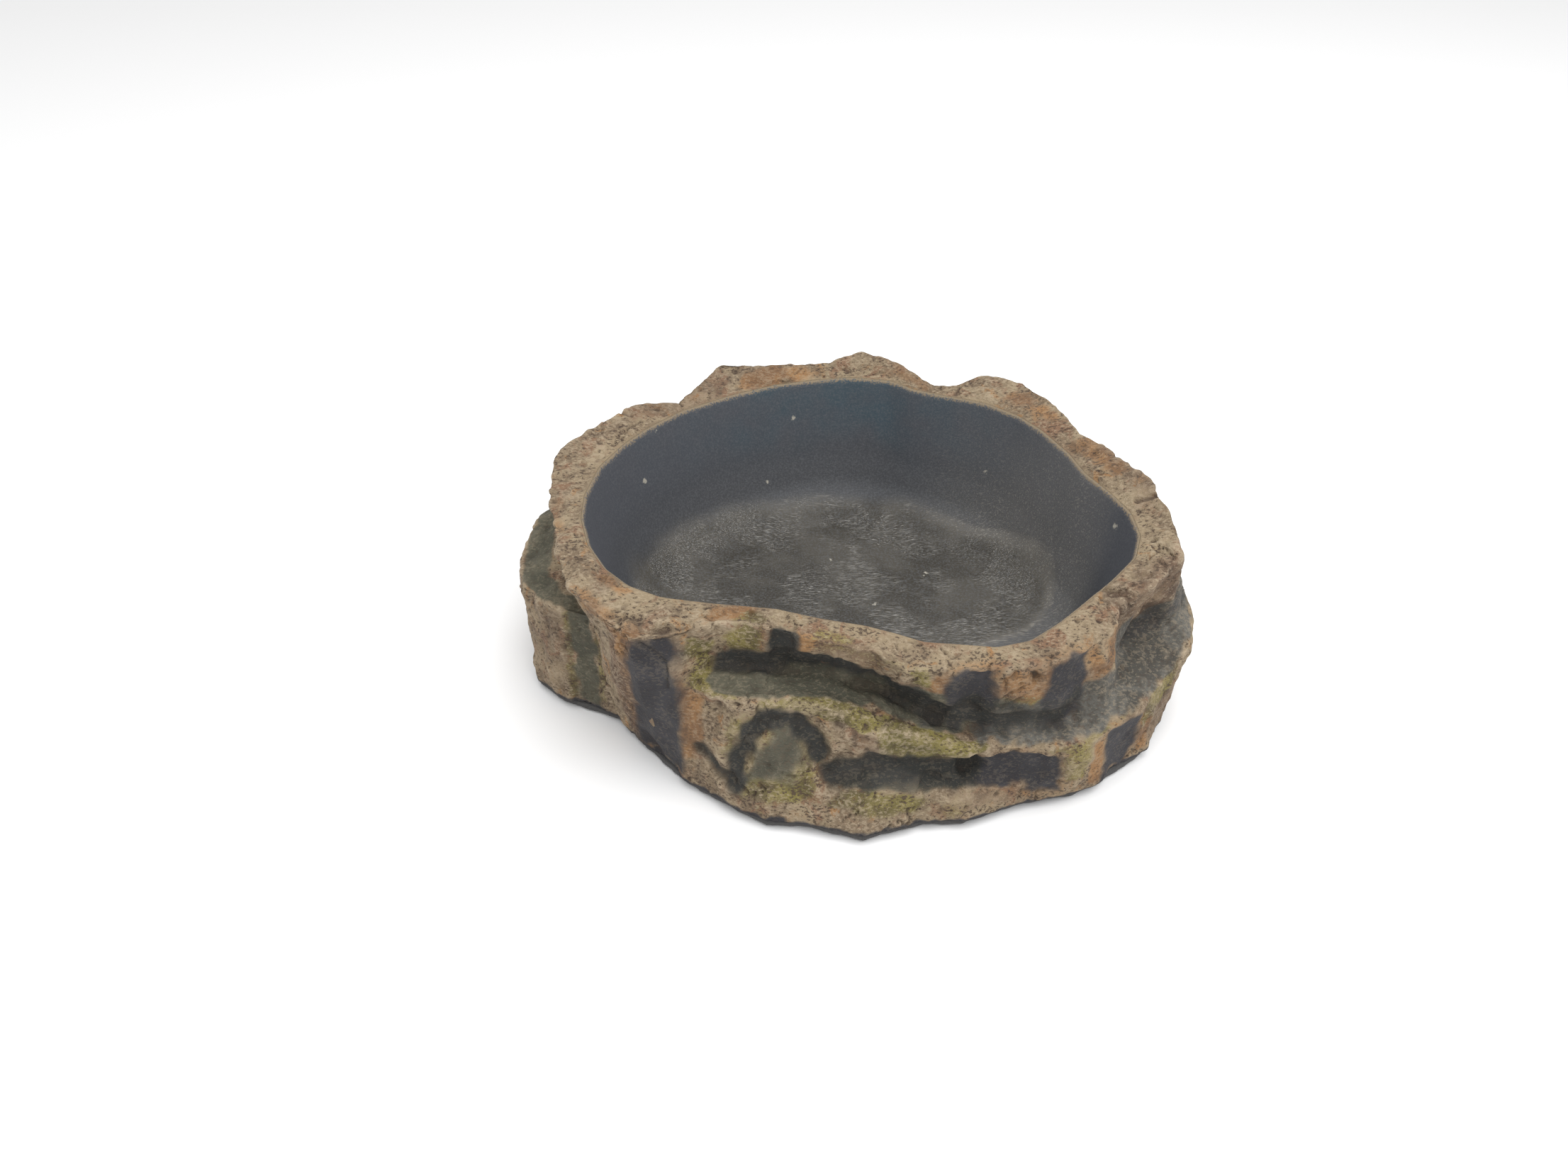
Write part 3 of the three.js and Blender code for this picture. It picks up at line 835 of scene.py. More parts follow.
PATCHES: dict[Paint, tuple[Patch, ...]] = {
    Paint.UMBER: (
        Patch(((-143, 0.1), (-141, 2.0), (-135.5, 2.9), (-131, 3.0), (-137, 0.1)), 0.9, 3.0),
        Patch(((-169, 0.05), (-169, 0.95), (-157, 1.0), (-157, 0.05)), 0.35, 2.0),
        Patch(((-104, 2.6), (-103, 3.4), (-86, 3.4), (-82, 2.7), (-92, 2.55)), 0.6),
        Patch(((-91, 0.7), (-91, 0.95), (-82, 0.98), (-80, 0.75)), 0.65),
        Patch(((-74, 0.1), (-72, 0.42), (-58, 0.42), (-56, 0.1)), 0.5),
        Patch(((-36, 2.1), (-34, 3.75), (-24, 3.7), (-18, 3.3), (-16, 2.1)), 0.62, 3.0),
        Patch(((-10, 2.4), (-6, 3.8), (18, 3.7), (20, 2.5)), 0.5, 3.0),
        Patch(((-36, 0.05), (-34, 0.9), (-20, 0.6), (-18, 0.05)), 0.55, 3.0),
        Patch(((-20, 0.05), (-18, 0.95), (-2, 1.0), (10, 0.9), (14, 0.05)), 0.5, 4.0, 6.0),
        # round the back
        Patch(((120, 2.2), (118, 3.7), (150, 3.6), (150, 2.3)), 0.5, 3.0),
    ),
    Paint.OCHRE: (
        Patch(((-126, 2.0), (-124.4, 1.1), (-121.5, 0.95), (-121, 0.6), (-123, 0.3),
              (-125.5, 0.3)), 1.0, 3.0),
        Patch(((-139, 2.0), (-134.5, 2.9), (-135, 3.25), (-131, 3.25), (-133, 2.7),
              (-136.5, 2.0)), 0.95, 3.0),
        Patch(((-149, 3.6), (-149, 3.85), (-141, 3.85), (-141, 3.6)), 0.85, 3.0),
        Patch(((-125, 3.3), (-124, 3.85), (-115, 3.85), (-117, 3.45)), 1.0, 3.5),
        Patch(((-115.5, 2.5), (-112.5, 3.1), (-110.5, 3.1), (-111, 2.4)), 0.8, 3.0, 3.0),
        Patch(((-104, 2.6), (-104, 3.3), (-99, 3.0), (-100.5, 2.6)), 0.9, 3.0),
        Patch(((-97, 1.24), (-95, 1.42), (-84, 1.48), (-80, 1.3), (-88, 1.3)), 0.9, 3.0),
        Patch(((-75, 2.5), (-74.5, 2.95), (-71, 2.98), (-70.5, 2.45)), 1.0, 3.0),
        Patch(((-62, 2.55), (-62, 2.95), (-50.5, 2.9), (-51, 2.45)), 0.85, 3.0),
        Patch(((-46.5, 2.9), (-44, 2.95), (-37.5, 2.1), (-41, 2.0)), 0.75, 3.0),
        Patch(((-46, 0.1), (-46, 0.85), (-43, 0.95), (-42.5, 0.1)), 0.9, 3.0),
        Patch(((-34.5, 0.1), (-35.5, 0.8), (-32, 0.8), (-31, 0.1)), 0.9, 3.0),
        Patch(((-178, 3.1), (-178, 3.5), (-164, 3.5), (-166, 3.1)), 0.6, 4.0),
        Patch(((-60, 2.2), (-60, 2.6), (-52, 2.6), (-52, 2.2)), 0.8, 3.0),
        Patch(((-41, 2.3), (-42, 2.98), (-34, 2.98), (-31, 2.2)), 0.65, 3.5),
        Patch(((-146, 2.6), (-147, 3.3), (-137, 3.3), (-136, 2.7)), 0.7, 4.0),
        Patch(((2, 3.0), (4, 3.6), (22, 3.6), (20, 3.0)), 0.7, 5.0, 5.0),
        # round the back
        Patch(((94, 3.2), (96, 3.8), (118, 3.8), (114, 3.2)), 0.95, 4.0, 4.0),
        Patch(((28, 3.2), (30, 3.7), (44, 3.7), (40, 3.1)), 0.8, 4.0, 4.0),
        Patch(((58, 3.0), (60, 3.6), (78, 3.7), (74, 3.0)), 0.6, 5.0, 5.0),
    ),
    Paint.MOSS: (
        Patch(((-122, 1.22), (-119, 1.02), (-110, 0.98), (-104, 0.97), (-99, 0.92), (-95, 0.88),
              (-86, 0.95), (-84, 0.76), (-76, 0.72), (-69, 0.74), (-66, 0.9), (-63, 1.1), (-65, 1.32),
              (-72, 1.33), (-80, 1.3), (-86, 1.38), (-95, 1.3), (-101, 1.22),
              (-110, 1.08)), 1.0, 1.6, 2.6),
        Patch(((-124.8, 1.3), (-124.8, 2.7), (-122.3, 2.6), (-122.6, 2.2), (-121.6, 1.4), (-118.5, 1.08),
              (-121, 1.0)), 1.0, 2.0, 1.5),
        Patch(((-120.5, 2.6), (-118, 2.95), (-111, 3.15), (-111, 2.7), (-112.5, 2.35),
              (-121, 2.3)), 0.75, 3.0, 3.0),
        Patch(((-116.5, 0.5), (-115.5, 0.75), (-111, 1.0), (-112, 0.85), (-114.5, 0.5)), 0.7),
        Patch(((-112, 0.12), (-111, 0.4), (-107, 0.52), (-99, 0.56), (-96, 0.4), (-96, 0.2)), 0.7, 3.5),
        Patch(((-95, 0.2), (-90, 0.42), (-80, 0.4), (-75, 0.3), (-78, 0.12)), 0.72),
        Patch(((-119, 3.15), (-117, 3.7), (-110, 3.75), (-109, 3.45), (-113, 3.1)), 0.6, 2.5),
        Patch(((-100, 3.0), (-99, 3.5), (-90, 3.45), (-90, 3.1)), 0.5, 2.5),
        Patch(((-78, 2.6), (-78.5, 2.95), (-75, 3.05), (-74, 2.6)), 0.85),
        Patch(((-61, 2.2), (-61, 2.55), (-50, 2.4), (-48, 2.15)), 0.55),
        Patch(((-54, 0.9), (-56, 1.12), (-46, 1.25), (-40, 1.3), (-36, 1.12), (-46, 0.95), (-47, 0.3),
              (-51, 0.3), (-51, 0.85)), 0.62),
        Patch(((-35, 0.55), (-34, 1.05), (-24, 1.1), (-26, 0.6)), 0.65),
        Patch(((-20, 0.75), (-19, 1.12), (-12, 1.1), (-13, 0.75)), 0.8),
        Patch(((-14, 1.2), (-13, 1.7), (-8, 1.6), (-8, 1.1)), 0.6),
        Patch(((-158.2, 0.05), (-158.2, 1.0), (-156.4, 1.0), (-156.4, 0.05)), 0.6, 1.2),
        Patch(((-153.2, 0.1), (-153, 1.1), (-151.6, 1.1), (-151, 0.1)), 0.55, 1.2),
        Patch(((-117, 0.5), (-115, 0.9), (-108, 1.08), (-99, 1.02), (-94, 0.8), (-98, 0.3), (-108, 0.1),
              (-112, 0.15)), 0.5, 6.0, 4.0),
        Patch(((-92, 0.3), (-80, 0.42), (-66, 0.3), (-70, 0.1), (-84, 0.1)), 0.45, 6.0, 4.0),
        Patch(((-100, 2.7), (-96, 3.2), (-80, 3.3), (-78, 2.8), (-88, 2.6)), 0.4, 6.0, 4.0),
        # round the back
        Patch(((24, 0.9), (24, 1.25), (62, 1.3), (64, 0.85)), 0.7, 2.0, 3.0),
        Patch(((84, 0.15), (84, 0.5), (110, 0.5), (112, 0.2)), 0.65, 2.0, 3.0),
        Patch(((118, 0.9), (120, 1.3), (150, 1.25), (152, 0.9)), 0.7, 2.0, 3.0),
    ),
    Paint.SAGE: (
        Patch(((-196, 1.05), (-196, 1.65), (-176, 1.66), (-160, 1.88), (-156, 1.74), (-153.3, 1.5),
              (-152.8, 0.02), (-157, 0.02), (-157.2, 1.0), (-163, 1.03), (-168, 0.98),
              (-182, 1.04)), 0.95, 1.4),
        Patch(((-122.4, 2.0), (-122.2, 1.4), (-119, 1.12), (-110, 1.07), (-101, 1.2), (-94, 1.24),
              (-86, 1.46), (-80, 1.4), (-73, 1.5), (-67, 1.7), (-60, 1.5), (-56, 1.4), (-52, 2.3),
              (-62, 2.5), (-80, 2.5), (-110, 2.2)), 0.95, 1.4),
        Patch(((-111.8, 0.32), (-109.6, 0.62), (-106, 0.86), (-102.4, 0.84), (-100, 0.62), (-100.5, 0.44),
              (-104, 0.36)), 0.8, 4.0, 3.0),
        Patch(((-93, 0.4), (-90, 0.62), (-68, 0.7), (-68, 0.42), (-76, 0.36), (-86, 0.42)), 0.8, 1.6),
        # round the back
        Patch(((16, 1.12), (24, 2.1), (50, 1.8), (80, 2.0), (110, 1.9), (140, 2.1), (160, 1.8),
              (166, 1.12), (120, 1.2), (70, 1.1)), 0.85, 3.0, 7.0),
        Patch(((110, 0.02), (113, 0.6), (112, 1.1), (119, 1.0), (118, 0.5), (124, 0.02)), 0.8, 3.0, 5.0),
    ),
    Paint.GREY: (
        Patch(((-66, 1.4), (-58, 1.18), (-50, 1.15), (-46, 1.32), (-41, 1.25), (-35, 1.1), (-27, 1.02),
              (-16, 1.0), (-8, 1.3), (4, 1.1), (14, 1.2), (16, 2.2), (4, 2.85), (-10, 2.92), (-19, 2.4),
              (-30, 2.6), (-38, 2.4), (-45, 2.4), (-60, 2.4), (-68, 2.1)), 0.95, 3.0, 4.0),
    ),
    Paint.SLATE: (
        Patch(((-131, 2.8), (-127.6, 2.85), (-126.2, 2.6), (-125.5, 1.9), (-125.0, 1.2), (-125.4, 0.03),
              (-140.5, 0.03), (-138, 0.5), (-136.3, 1.2), (-134.3, 2.0),
              (-132.8, 2.6)), 1.0, 3.6, 2.2, 0.35),
        Patch(((-68, 0.72), (-62, 0.86), (-57, 0.9), (-51.8, 0.82), (-51, 0.45), (-51.4, 0.2), (-57, 0.2),
              (-58, 0.32), (-63, 0.42), (-68, 0.5)), 1.0, 2.4, 2.0, 0.4),
        Patch(((-30, 1.9), (-24, 1.7), (-14, 1.9), (0, 1.9), (10, 2.1), (2, 2.7), (-10, 2.7), (-19, 2.3),
              (-30, 2.5)), 0.5, 5.0, 8.0),
        Patch(((-71.5, 2.0), (-71.8, 2.92), (-68.5, 3.05), (-63.6, 3.0), (-62.2, 2.6),
              (-61.5, 2.0)), 1.0, 2.6, 2.2, 0.5),
        Patch(((-54, 2.0), (-53.6, 2.96), (-49.5, 3.08), (-46.2, 2.98), (-45, 2.5),
              (-45, 2.0)), 1.0, 2.6, 2.2, 0.5),
        Patch(((-42.6, 0.02), (-43.6, 1.1), (-39, 1.05), (-35.8, 0.86), (-35.4, 0.45),
              (-37, 0.02)), 1.0, 2.6, 2.2, 0.4),
        Patch(((-16, 0.1), (-14, 0.9), (-5, 0.95), (3, 0.6), (8, 0.2)), 0.5, 4.0, 6.0),
        # round the back
        Patch(((36, 0.02), (38, 0.5), (37, 1.0), (42, 1.2), (47, 0.8), (50, 0.02)), 0.9, 3.5, 5.0, 0.4),
        Patch(((62, 0.02), (66, 0.8), (65, 1.7), (68, 2.5), (72, 2.7), (75, 2.0), (74, 1.0),
              (80, 0.02)), 0.9, 3.5, 5.0, 0.4),
        Patch(((96, 2.0), (98, 2.8), (104, 2.95), (110, 2.6), (108, 2.0)), 0.9, 3.5, 4.0, 0.4),
        Patch(((132, 0.02), (137, 0.5), (136, 0.9), (141, 1.1), (146, 0.9), (145, 0.4),
              (151, 0.02)), 0.9, 3.5, 5.0, 0.4),
    ),
    # near-black under the brow, in the crease, the recesses and the arch: dark paint, and painted shade where
    # they fall dark
    Paint.BLACK_AND_SHADE: (
        Patch(((-122.8, 2.25), (-122.6, 1.75), (-118, 1.82), (-111, 1.96), (-101, 2.12), (-92, 2.12),
              (-84, 2.2), (-76, 2.05), (-68, 1.95), (-62, 2.0), (-62, 2.3), (-70, 2.34), (-78, 2.56),
              (-83, 2.64), (-88, 2.5), (-96, 2.58), (-103, 2.54), (-103, 3.0), (-104.6, 3.3),
              (-107.2, 3.42), (-109.6, 3.3), (-111, 2.9), (-111.4, 2.42), (-117, 2.3)), 0.95, 3.0, 2.0),
        Patch(((-110, 0.35), (-108.5, 0.66), (-104, 0.82), (-99, 0.66), (-98, 0.5),
              (-103, 0.36)), 0.4, 3.0, 3.0),
        Patch(((-96, 0.4), (-92, 0.6), (-84, 0.74), (-68, 0.76), (-66, 0.44), (-76, 0.36),
              (-86, 0.44)), 0.85, 3.0, 3.0),
        # a faint strip under the lip of the ledge: painted shade under the overhang
        Patch(((-86, 0.7), (-84, 0.92), (-68, 0.94), (-66, 0.8)), 0.35, 3.0, 3.0),
        Patch(((-84, 1.9), (-72, 1.75), (-60, 1.72), (-52, 1.74), (-44, 2.1), (-46, 2.4), (-54, 2.34),
              (-62, 2.44), (-72, 2.36)), 0.8, 4.0, 4.0),
        # round the back
        Patch(((28, 2.0), (34, 2.3), (48, 2.4), (62, 2.1), (46, 1.9)), 0.6, 4.0, 5.0),
        Patch(((116, 2.0), (126, 2.3), (146, 2.35), (158, 2.0), (138, 1.85)), 0.6, 4.0, 5.0),
    ),
}


@dataclass
class RockShell:
    """The rock ring: its grooves, its paint, its random surface and its hollow inside."""

    plan_shift: tuple[float, float] = (-2.1, 1.37)  # mm, from the outlines' centre to the dish's
    front_step: float = 0.37  # degrees
    back_step: float = 0.62
    rows: tuple[int, int, int, int] = (44, 20, 28, 22)  # points up each band
    wall: float = 8.0  # mm
    skirt: float = 11.0  # mm, the wall's thickness at the foot
    skin_rounding: int = 10  # rounds of evening out, to tell what stands proud
    seat_depth: float = 8.0
    seat_width: float = 1.6
    seat_height: float = 4.0

    edge_ring: np.ndarray = field(init=False, default=None)

    def build(self) -> bpy.types.Object:
        """Makes the shell's mesh, cut, roughened and painted.

        Returns:
            The new object.
        """
        skin = Skin(skin_angles(self.front_step, self.back_step), self.rows)
        masks = {paint.value: self.painted(skin, paint) for paint in Paint}
        self.cut(skin)
        self.roughen(skin, masks)
        self.edge_ring = skin.points[:, -1].copy()
        grid = np.concatenate([skin.points, self.lining(skin.angles)], axis=1)
        columns, rows = grid.shape[:2]
        grid[..., :2] += self.plan_shift
        for label, values in masks.items():
            whole = np.zeros((columns, rows))
            whole[:, :values.shape[1]] = values
            masks[label] = whole
        faces = ring_faces(columns, rows, closed=True)
        return make_piece("rock_ring_cast", grid.reshape(-1, 3), faces.tolist(), masks)

    def painted(self, skin: Skin, paint: Paint) -> np.ndarray:
        """Works out where one paint lies.

        Args:
            skin: The skin, before it is cut.
            paint: The paint.

        Returns:
            How much of it lies at each point, from 0 to 1, (n, m).
        """
        mask = np.zeros(skin.points.shape[:2])
        wander = rugged(skin.points, 9.0, 3, seed=40)
        for patch in PATCHES[paint]:
            depth = skin.inside(patch.corners) + wander * patch.ragged
            mask = np.maximum(mask, patch.strength * ease(-patch.soft, patch.soft, depth))
        if paint is Paint.OCHRE:
            for patch in (p for p in itertools.chain(*PATCHES.values()) if p.halo):
                depth = skin.inside(patch.corners) + wander * 2
                mask = np.maximum(mask, patch.halo * ease(-9.0, -1.0, depth))
        # near-black sprayed into the grooves: painted shade in the hollows, over dark paint
        if paint is Paint.BLACK_AND_SHADE:
            for groove in (g for g in GROOVES if g.black_and_shade):
                depth = groove.width * 0.68 - skin.near_path(groove.path) + wander * 1.6
                mask = np.maximum(mask, groove.black_and_shade * ease(-2.4, 3.0, depth))
        return mask

    def cut(self, skin: Skin) -> None:
        """Wears the grooves into the skin.

        Args:
            skin: The skin, whose points are moved.
        """
        wander = 1.5 * rugged(skin.points, 8.0, 3, seed=41)
        normals = skin.normals()
        worn = np.zeros(skin.points.shape[:2])
        for groove in GROOVES:
            away = skin.near_path(groove.path) + wander * min(1.0, groove.width * 0.2)
            share = 1 - ease(groove.width * groove.flat, groove.width, away)
            worn += groove.depth * share
        skin.points = skin.points - normals * worn[..., None]

    def roughen(self, skin: Skin, masks: dict[str, np.ndarray]) -> None:
        """Gives the skin its random rock surface, and notes what stands proud or lies deep.

        Args:
            skin: The skin, whose points are moved.
            masks: The paints' masks, to which "proud", "hollow" and "lively" are added.
        """
        at = skin.points
        smooth = np.clip(masks["slate"] * 0.75 + masks["sage"] * 0.35 + masks["black_and_shade"] * 0.4, 0, 0.8)
        lively = 1 - smooth
        top = ease(3.97, 3.8, skin.bands)[None, :]
        foot = ease(-0.1, 0.12, skin.bands)[None, :]
        lumps = 1.3 * swell(at, 27.0, 1) + 0.9 * swell(at, 13.0, 2)
        stretched = at * np.array([1.0, 1.0, 0.35])
        ribs = 0.45 * rugged(stretched, 5.5, 2, 3)
        flaky = 0.75 * rugged(at, 6.5, 2, 4)
        strata = at * np.array([0.16, 0.16, 1.0])
        layered = 0.6 * rugged(strata, 3.6, 2, 5) * np.maximum(masks["sage"], masks["black_and_shade"])
        veins = np.abs(rugged(at * np.array([1.0, 1.0, 1.8]), 19.0, 3, 14))
        cracks = 1.3 * ease(0.09, 0.0, veins) * ease(-0.1, 0.3, swell(at, 24.0, 18))
        holes = cracks + 1.6 * pocks(at, 7.5, 0.34, 6) + 1.1 * pocks(at, 4.2, 0.36, 9)
        raised = lumps + (ribs + flaky - holes) * lively + layered
        raised *= top * (0.35 + 0.65 * foot)
        skin.points = at + skin.normals() * raised[..., None]
        even = skin.points
        for _ in range(self.skin_rounding):
            even = blurred(even)
        stands = ((skin.points - even) * skin.normals()).sum(-1)
        masks["proud"] = 0.4 * ease(0.1, 0.6, stands) * top
        masks["hollow"] = 0.85 * ease(-0.1, -0.7, stands) * top
        masks["lively"] = np.broadcast_to(ease(4.0, 3.86, skin.bands)[None, :], stands.shape)
        # slate along the foot: the rock is darker at its bottom edge
        band = ease(0.06, 0.01, skin.bands + 0.03 * rugged(at, 5.0, 2, 12))
        masks["slate"] = np.maximum(masks["slate"], band)

    def lining(self, angles: np.ndarray) -> np.ndarray:
        """The hollow inside of the shell, from the basin's seat down to the plate.

        Args:
            angles: Where the sections stand, in degrees, (n,).

        Returns:
            Points in mm, (n, 6, 3).
        """
        edge, corner = self.edge_ring, on_outline(LEDGE_CORNER, angles)
        rings = (edge, corner, on_outline(LEDGE_EDGE, angles), on_outline(FOOT, angles))
        at_edge, at_corner, at_ledge, at_foot = (np.linalg.norm(ring[:, :2], axis=1) for ring in rings)
        seat = at_edge - self.seat_width
        waist = np.maximum(seat + 1, at_corner - self.wall)
        flare = np.minimum(at_foot - self.skirt, at_ledge - self.wall)
        low = edge[:, 2] - self.seat_depth
        profile = (
            (at_edge, low),
            (seat, low),
            (seat, low - self.seat_height),
            (waist, corner[:, 2] - 6),
            (np.maximum(waist, flare - 3), (corner[:, 2] + FOOT_HEIGHT) / 2 - 6),
            (at_foot - self.skirt, np.full(len(angles), FOOT_HEIGHT)),
        )
        turn = np.radians(angles)
        return np.stack([
            np.column_stack([r * np.cos(turn), r * np.sin(turn), z]) for r, z in profile
        ], 1)


# ---------- the basin ----------


@dataclass
class BasinLiner:
    """The smooth basin: a sloped wall, a soft fillet and a nearly flat floor."""

    rock: RockShell
    floor: float = 20.0  # mm, height of the water side
    underside: float = 15.0  # mm, height of its back
    gap: float = 0.06  # mm, between its lip and the rock
    # the water side: how far in from the rim's edge, and the share of the whole depth
    profile: tuple[Spot, ...] = (
        (0.0, 0.0), (0.5, 0.004), (1.3, 0.025), (2.6, 0.1), (6.5, 0.34), (11.0, 0.6), (16.5, 0.81),
        (24.0, 0.935), (36.0, 1.0),
    )
    # where the pale dry-brushed arc runs on the floor, as (angle, radius)
    arc: tuple[Spot, ...] = (
        (-180, 93), (-150, 82), (-100, 58), (-60, 58), (-24, 67), (-13, 84), (-3, 96), (8, 94),
        (20, 88), (40, 80), (75, 77), (112, 76), (140, 81), (160, 87),
    )
    wall_rows: int = 70
    floor_rows: int = 30
    columns: int = 400

    def build(self) -> bpy.types.Object:
        """Makes the liner's mesh, with masks for its paint.

        Returns:
            The new object.
        """
        ring = self.rock.edge_ring
        order = np.argsort(np.arctan2(ring[:, 1], ring[:, 0]))
        turn = np.linspace(-math.pi, math.pi, self.columns, endpoint=False)
        known = np.arctan2(ring[order, 1], ring[order, 0])
        period = 2 * math.pi
        spread = np.linalg.norm(ring[order, :2], axis=1)
        rim = np.interp(turn, known, spread, period=period) - self.gap
        top = np.interp(turn, known, ring[order, 2], period=period)
        inset, share = self.fine_profile()
        wall = ease(1.5, 12.0, inset)[None, :]
        radius = rim[:, None] * (1 - wall) + self.evened(rim)[:, None] * wall - inset[None, :]
        height = top[:, None] - (top[:, None] - self.floor) * share[None, :]
        last = radius[:, -1:]
        steps = np.linspace(1, 0, self.floor_rows + 1)[1:-1]
        radius = np.concatenate([radius, last * steps[None, :]], 1)
        height = np.concatenate([height, np.full((len(turn), len(steps)), self.floor)], 1)
        water = self.placed(turn, radius, height)
        water[..., 2] += 0.35 * swell(water, 34.0, 21) * ease(4.0, 20.0, rim[:, None] - radius)
        back_r = np.stack([rim - 0.1, rim - 0.5, rim - 2.0, rim - 2.4, rim * 0.82, rim * 0.6], 1)
        back_z = np.stack([
            top - 0.6, top - 7.5, top - 7.7, top - 16, np.full_like(top, self.floor - 1),
            np.full_like(top, self.underside),
        ], 1)
        under = self.placed(turn, back_r, back_z)[:, ::-1]
        grid = np.concatenate([under, water], 1)
        columns, rows = grid.shape[:2]
        faces = ring_faces(columns, rows, closed=False).tolist()
        centre = np.array([[0, 0, self.underside], [0, 0, self.floor]])
        points = np.concatenate([grid.reshape(-1, 3), centre])
        low, high = columns * rows, columns * rows + 1
        for i in range(columns):
            j = (i + 1) % columns
            faces.append((j * rows, i * rows, low))
            faces.append((i * rows + rows - 1, j * rows + rows - 1, high))
        points[:, :2] += self.rock.plan_shift
        masks = {}
        for name, values in self.measures(turn, radius, height, top).items():
            whole = np.concatenate([np.zeros(under.shape[:2]), values], 1)
            masks[name] = np.append(whole.ravel(), [0, values[0, -1]])
        return make_piece("basin_cast", points, faces, masks)

    def evened(self, values: np.ndarray) -> np.ndarray:
        """Rounds off the corners of values that run once round the basin.

        Args:
            values: One value for each section, (n,).

        Returns:
            The rounded values, (n,).
        """
        for _ in range(60):
            values = 0.5 * values + 0.25 * (np.roll(values, 1) + np.roll(values, -1))
        return values

    def fine_profile(self) -> tuple[np.ndarray, np.ndarray]:
        """Lays the water side's profile out as many points, with its corners rounded off.

        Returns:
            How far in from the rim's edge each is, in mm, and its share of the whole depth.
        """
        known = np.array(self.profile)
        length = np.append(0, np.cumsum(np.hypot(np.diff(known[:, 0]), np.diff(known[:, 1]) * 60)))
        at = np.linspace(0, length[-1], self.wall_rows)
        line = np.stack([np.interp(at, length, known[:, k]) for k in (0, 1)], -1)
        for _ in range(12):
            line[4:-1] = 0.5 * line[4:-1] + 0.25 * (line[3:-2] + line[5:])
        return line[:, 0], line[:, 1]

    def placed(self, turn: np.ndarray, radius: np.ndarray, height: np.ndarray) -> np.ndarray:
        """Turns radii and heights, (n, m), into points, (n, m, 3)."""
        return np.stack([
            radius * np.cos(turn)[:, None], radius * np.sin(turn)[:, None], height,
        ], -1)

    def measures(
        self, turn: np.ndarray, radius: np.ndarray, height: np.ndarray, top: np.ndarray,
    ) -> dict[str, np.ndarray]:
        """Works out the basin's masks: its depth, its dusted arc and its wear.

        Args:
            turn: Where the sections stand, in radians, (n,).
            radius: The water side's radii in mm, (n, m).
            height: Its heights in mm, (n, m).
            top: The rim's height at each section, (n,).

        Returns:
            Numbers from 0 to 1 for each mask's name, (n, m).
        """
        deep = (top[:, None] - height) / (top[:, None] - self.floor)
        angles, radii = np.array(sorted(self.arc)).T
        pale = self.evened(np.interp(np.degrees(turn), angles, radii, period=360))
        spot = self.placed(turn, radius, height)
        inward = pale[:, None] - radius + 1.2 * rugged(spot, 26.0, 2, 34)
        right = ease(0.1, 0.8, np.cos(turn + 0.3))[:, None]
        patchy = np.clip(0.6 + 0.3 * right + 0.7 * rugged(spot, 30.0, 3, 31), 0, 1)
        wide = np.where(inward > 1.5, 3.4, 2.0)
        ring = (0.26 + 0.5 * right) * np.exp(-(((inward - 1.5) / wide) ** 2)) * patchy
        level = ease(-2.0, 5.0, inward)
        dust = np.exp(-(((inward - 13.0) / 5.0) ** 2)) * right
        cloudy = ease(-0.16, 0.26, rugged(spot, 22.0, 3, 33))
        haze = right * ease(-24.0, -6.0, inward) * ease(4.0, -2.0, inward)
        ring = np.maximum(ring, 0.34 * haze)
        worn = np.clip(0.1 + 0.9 * level * cloudy + 0.5 * dust + 0.3 * ring + 0.4 * haze, 0, 1)
        back = np.exp(-(((np.degrees(turn) - 88) / 42) ** 2))[:, None]
        teal = back * (0.7 + 0.8 * rugged(spot, 18.0, 3, 35)) * ease(0.75, 0.2, deep)
        teal = np.clip(teal, 0, 1)
        return {"teal": teal, "deep": deep, "ring": ring, "worn": worn, "level": level}


# ---------- the plate and the pads ----------


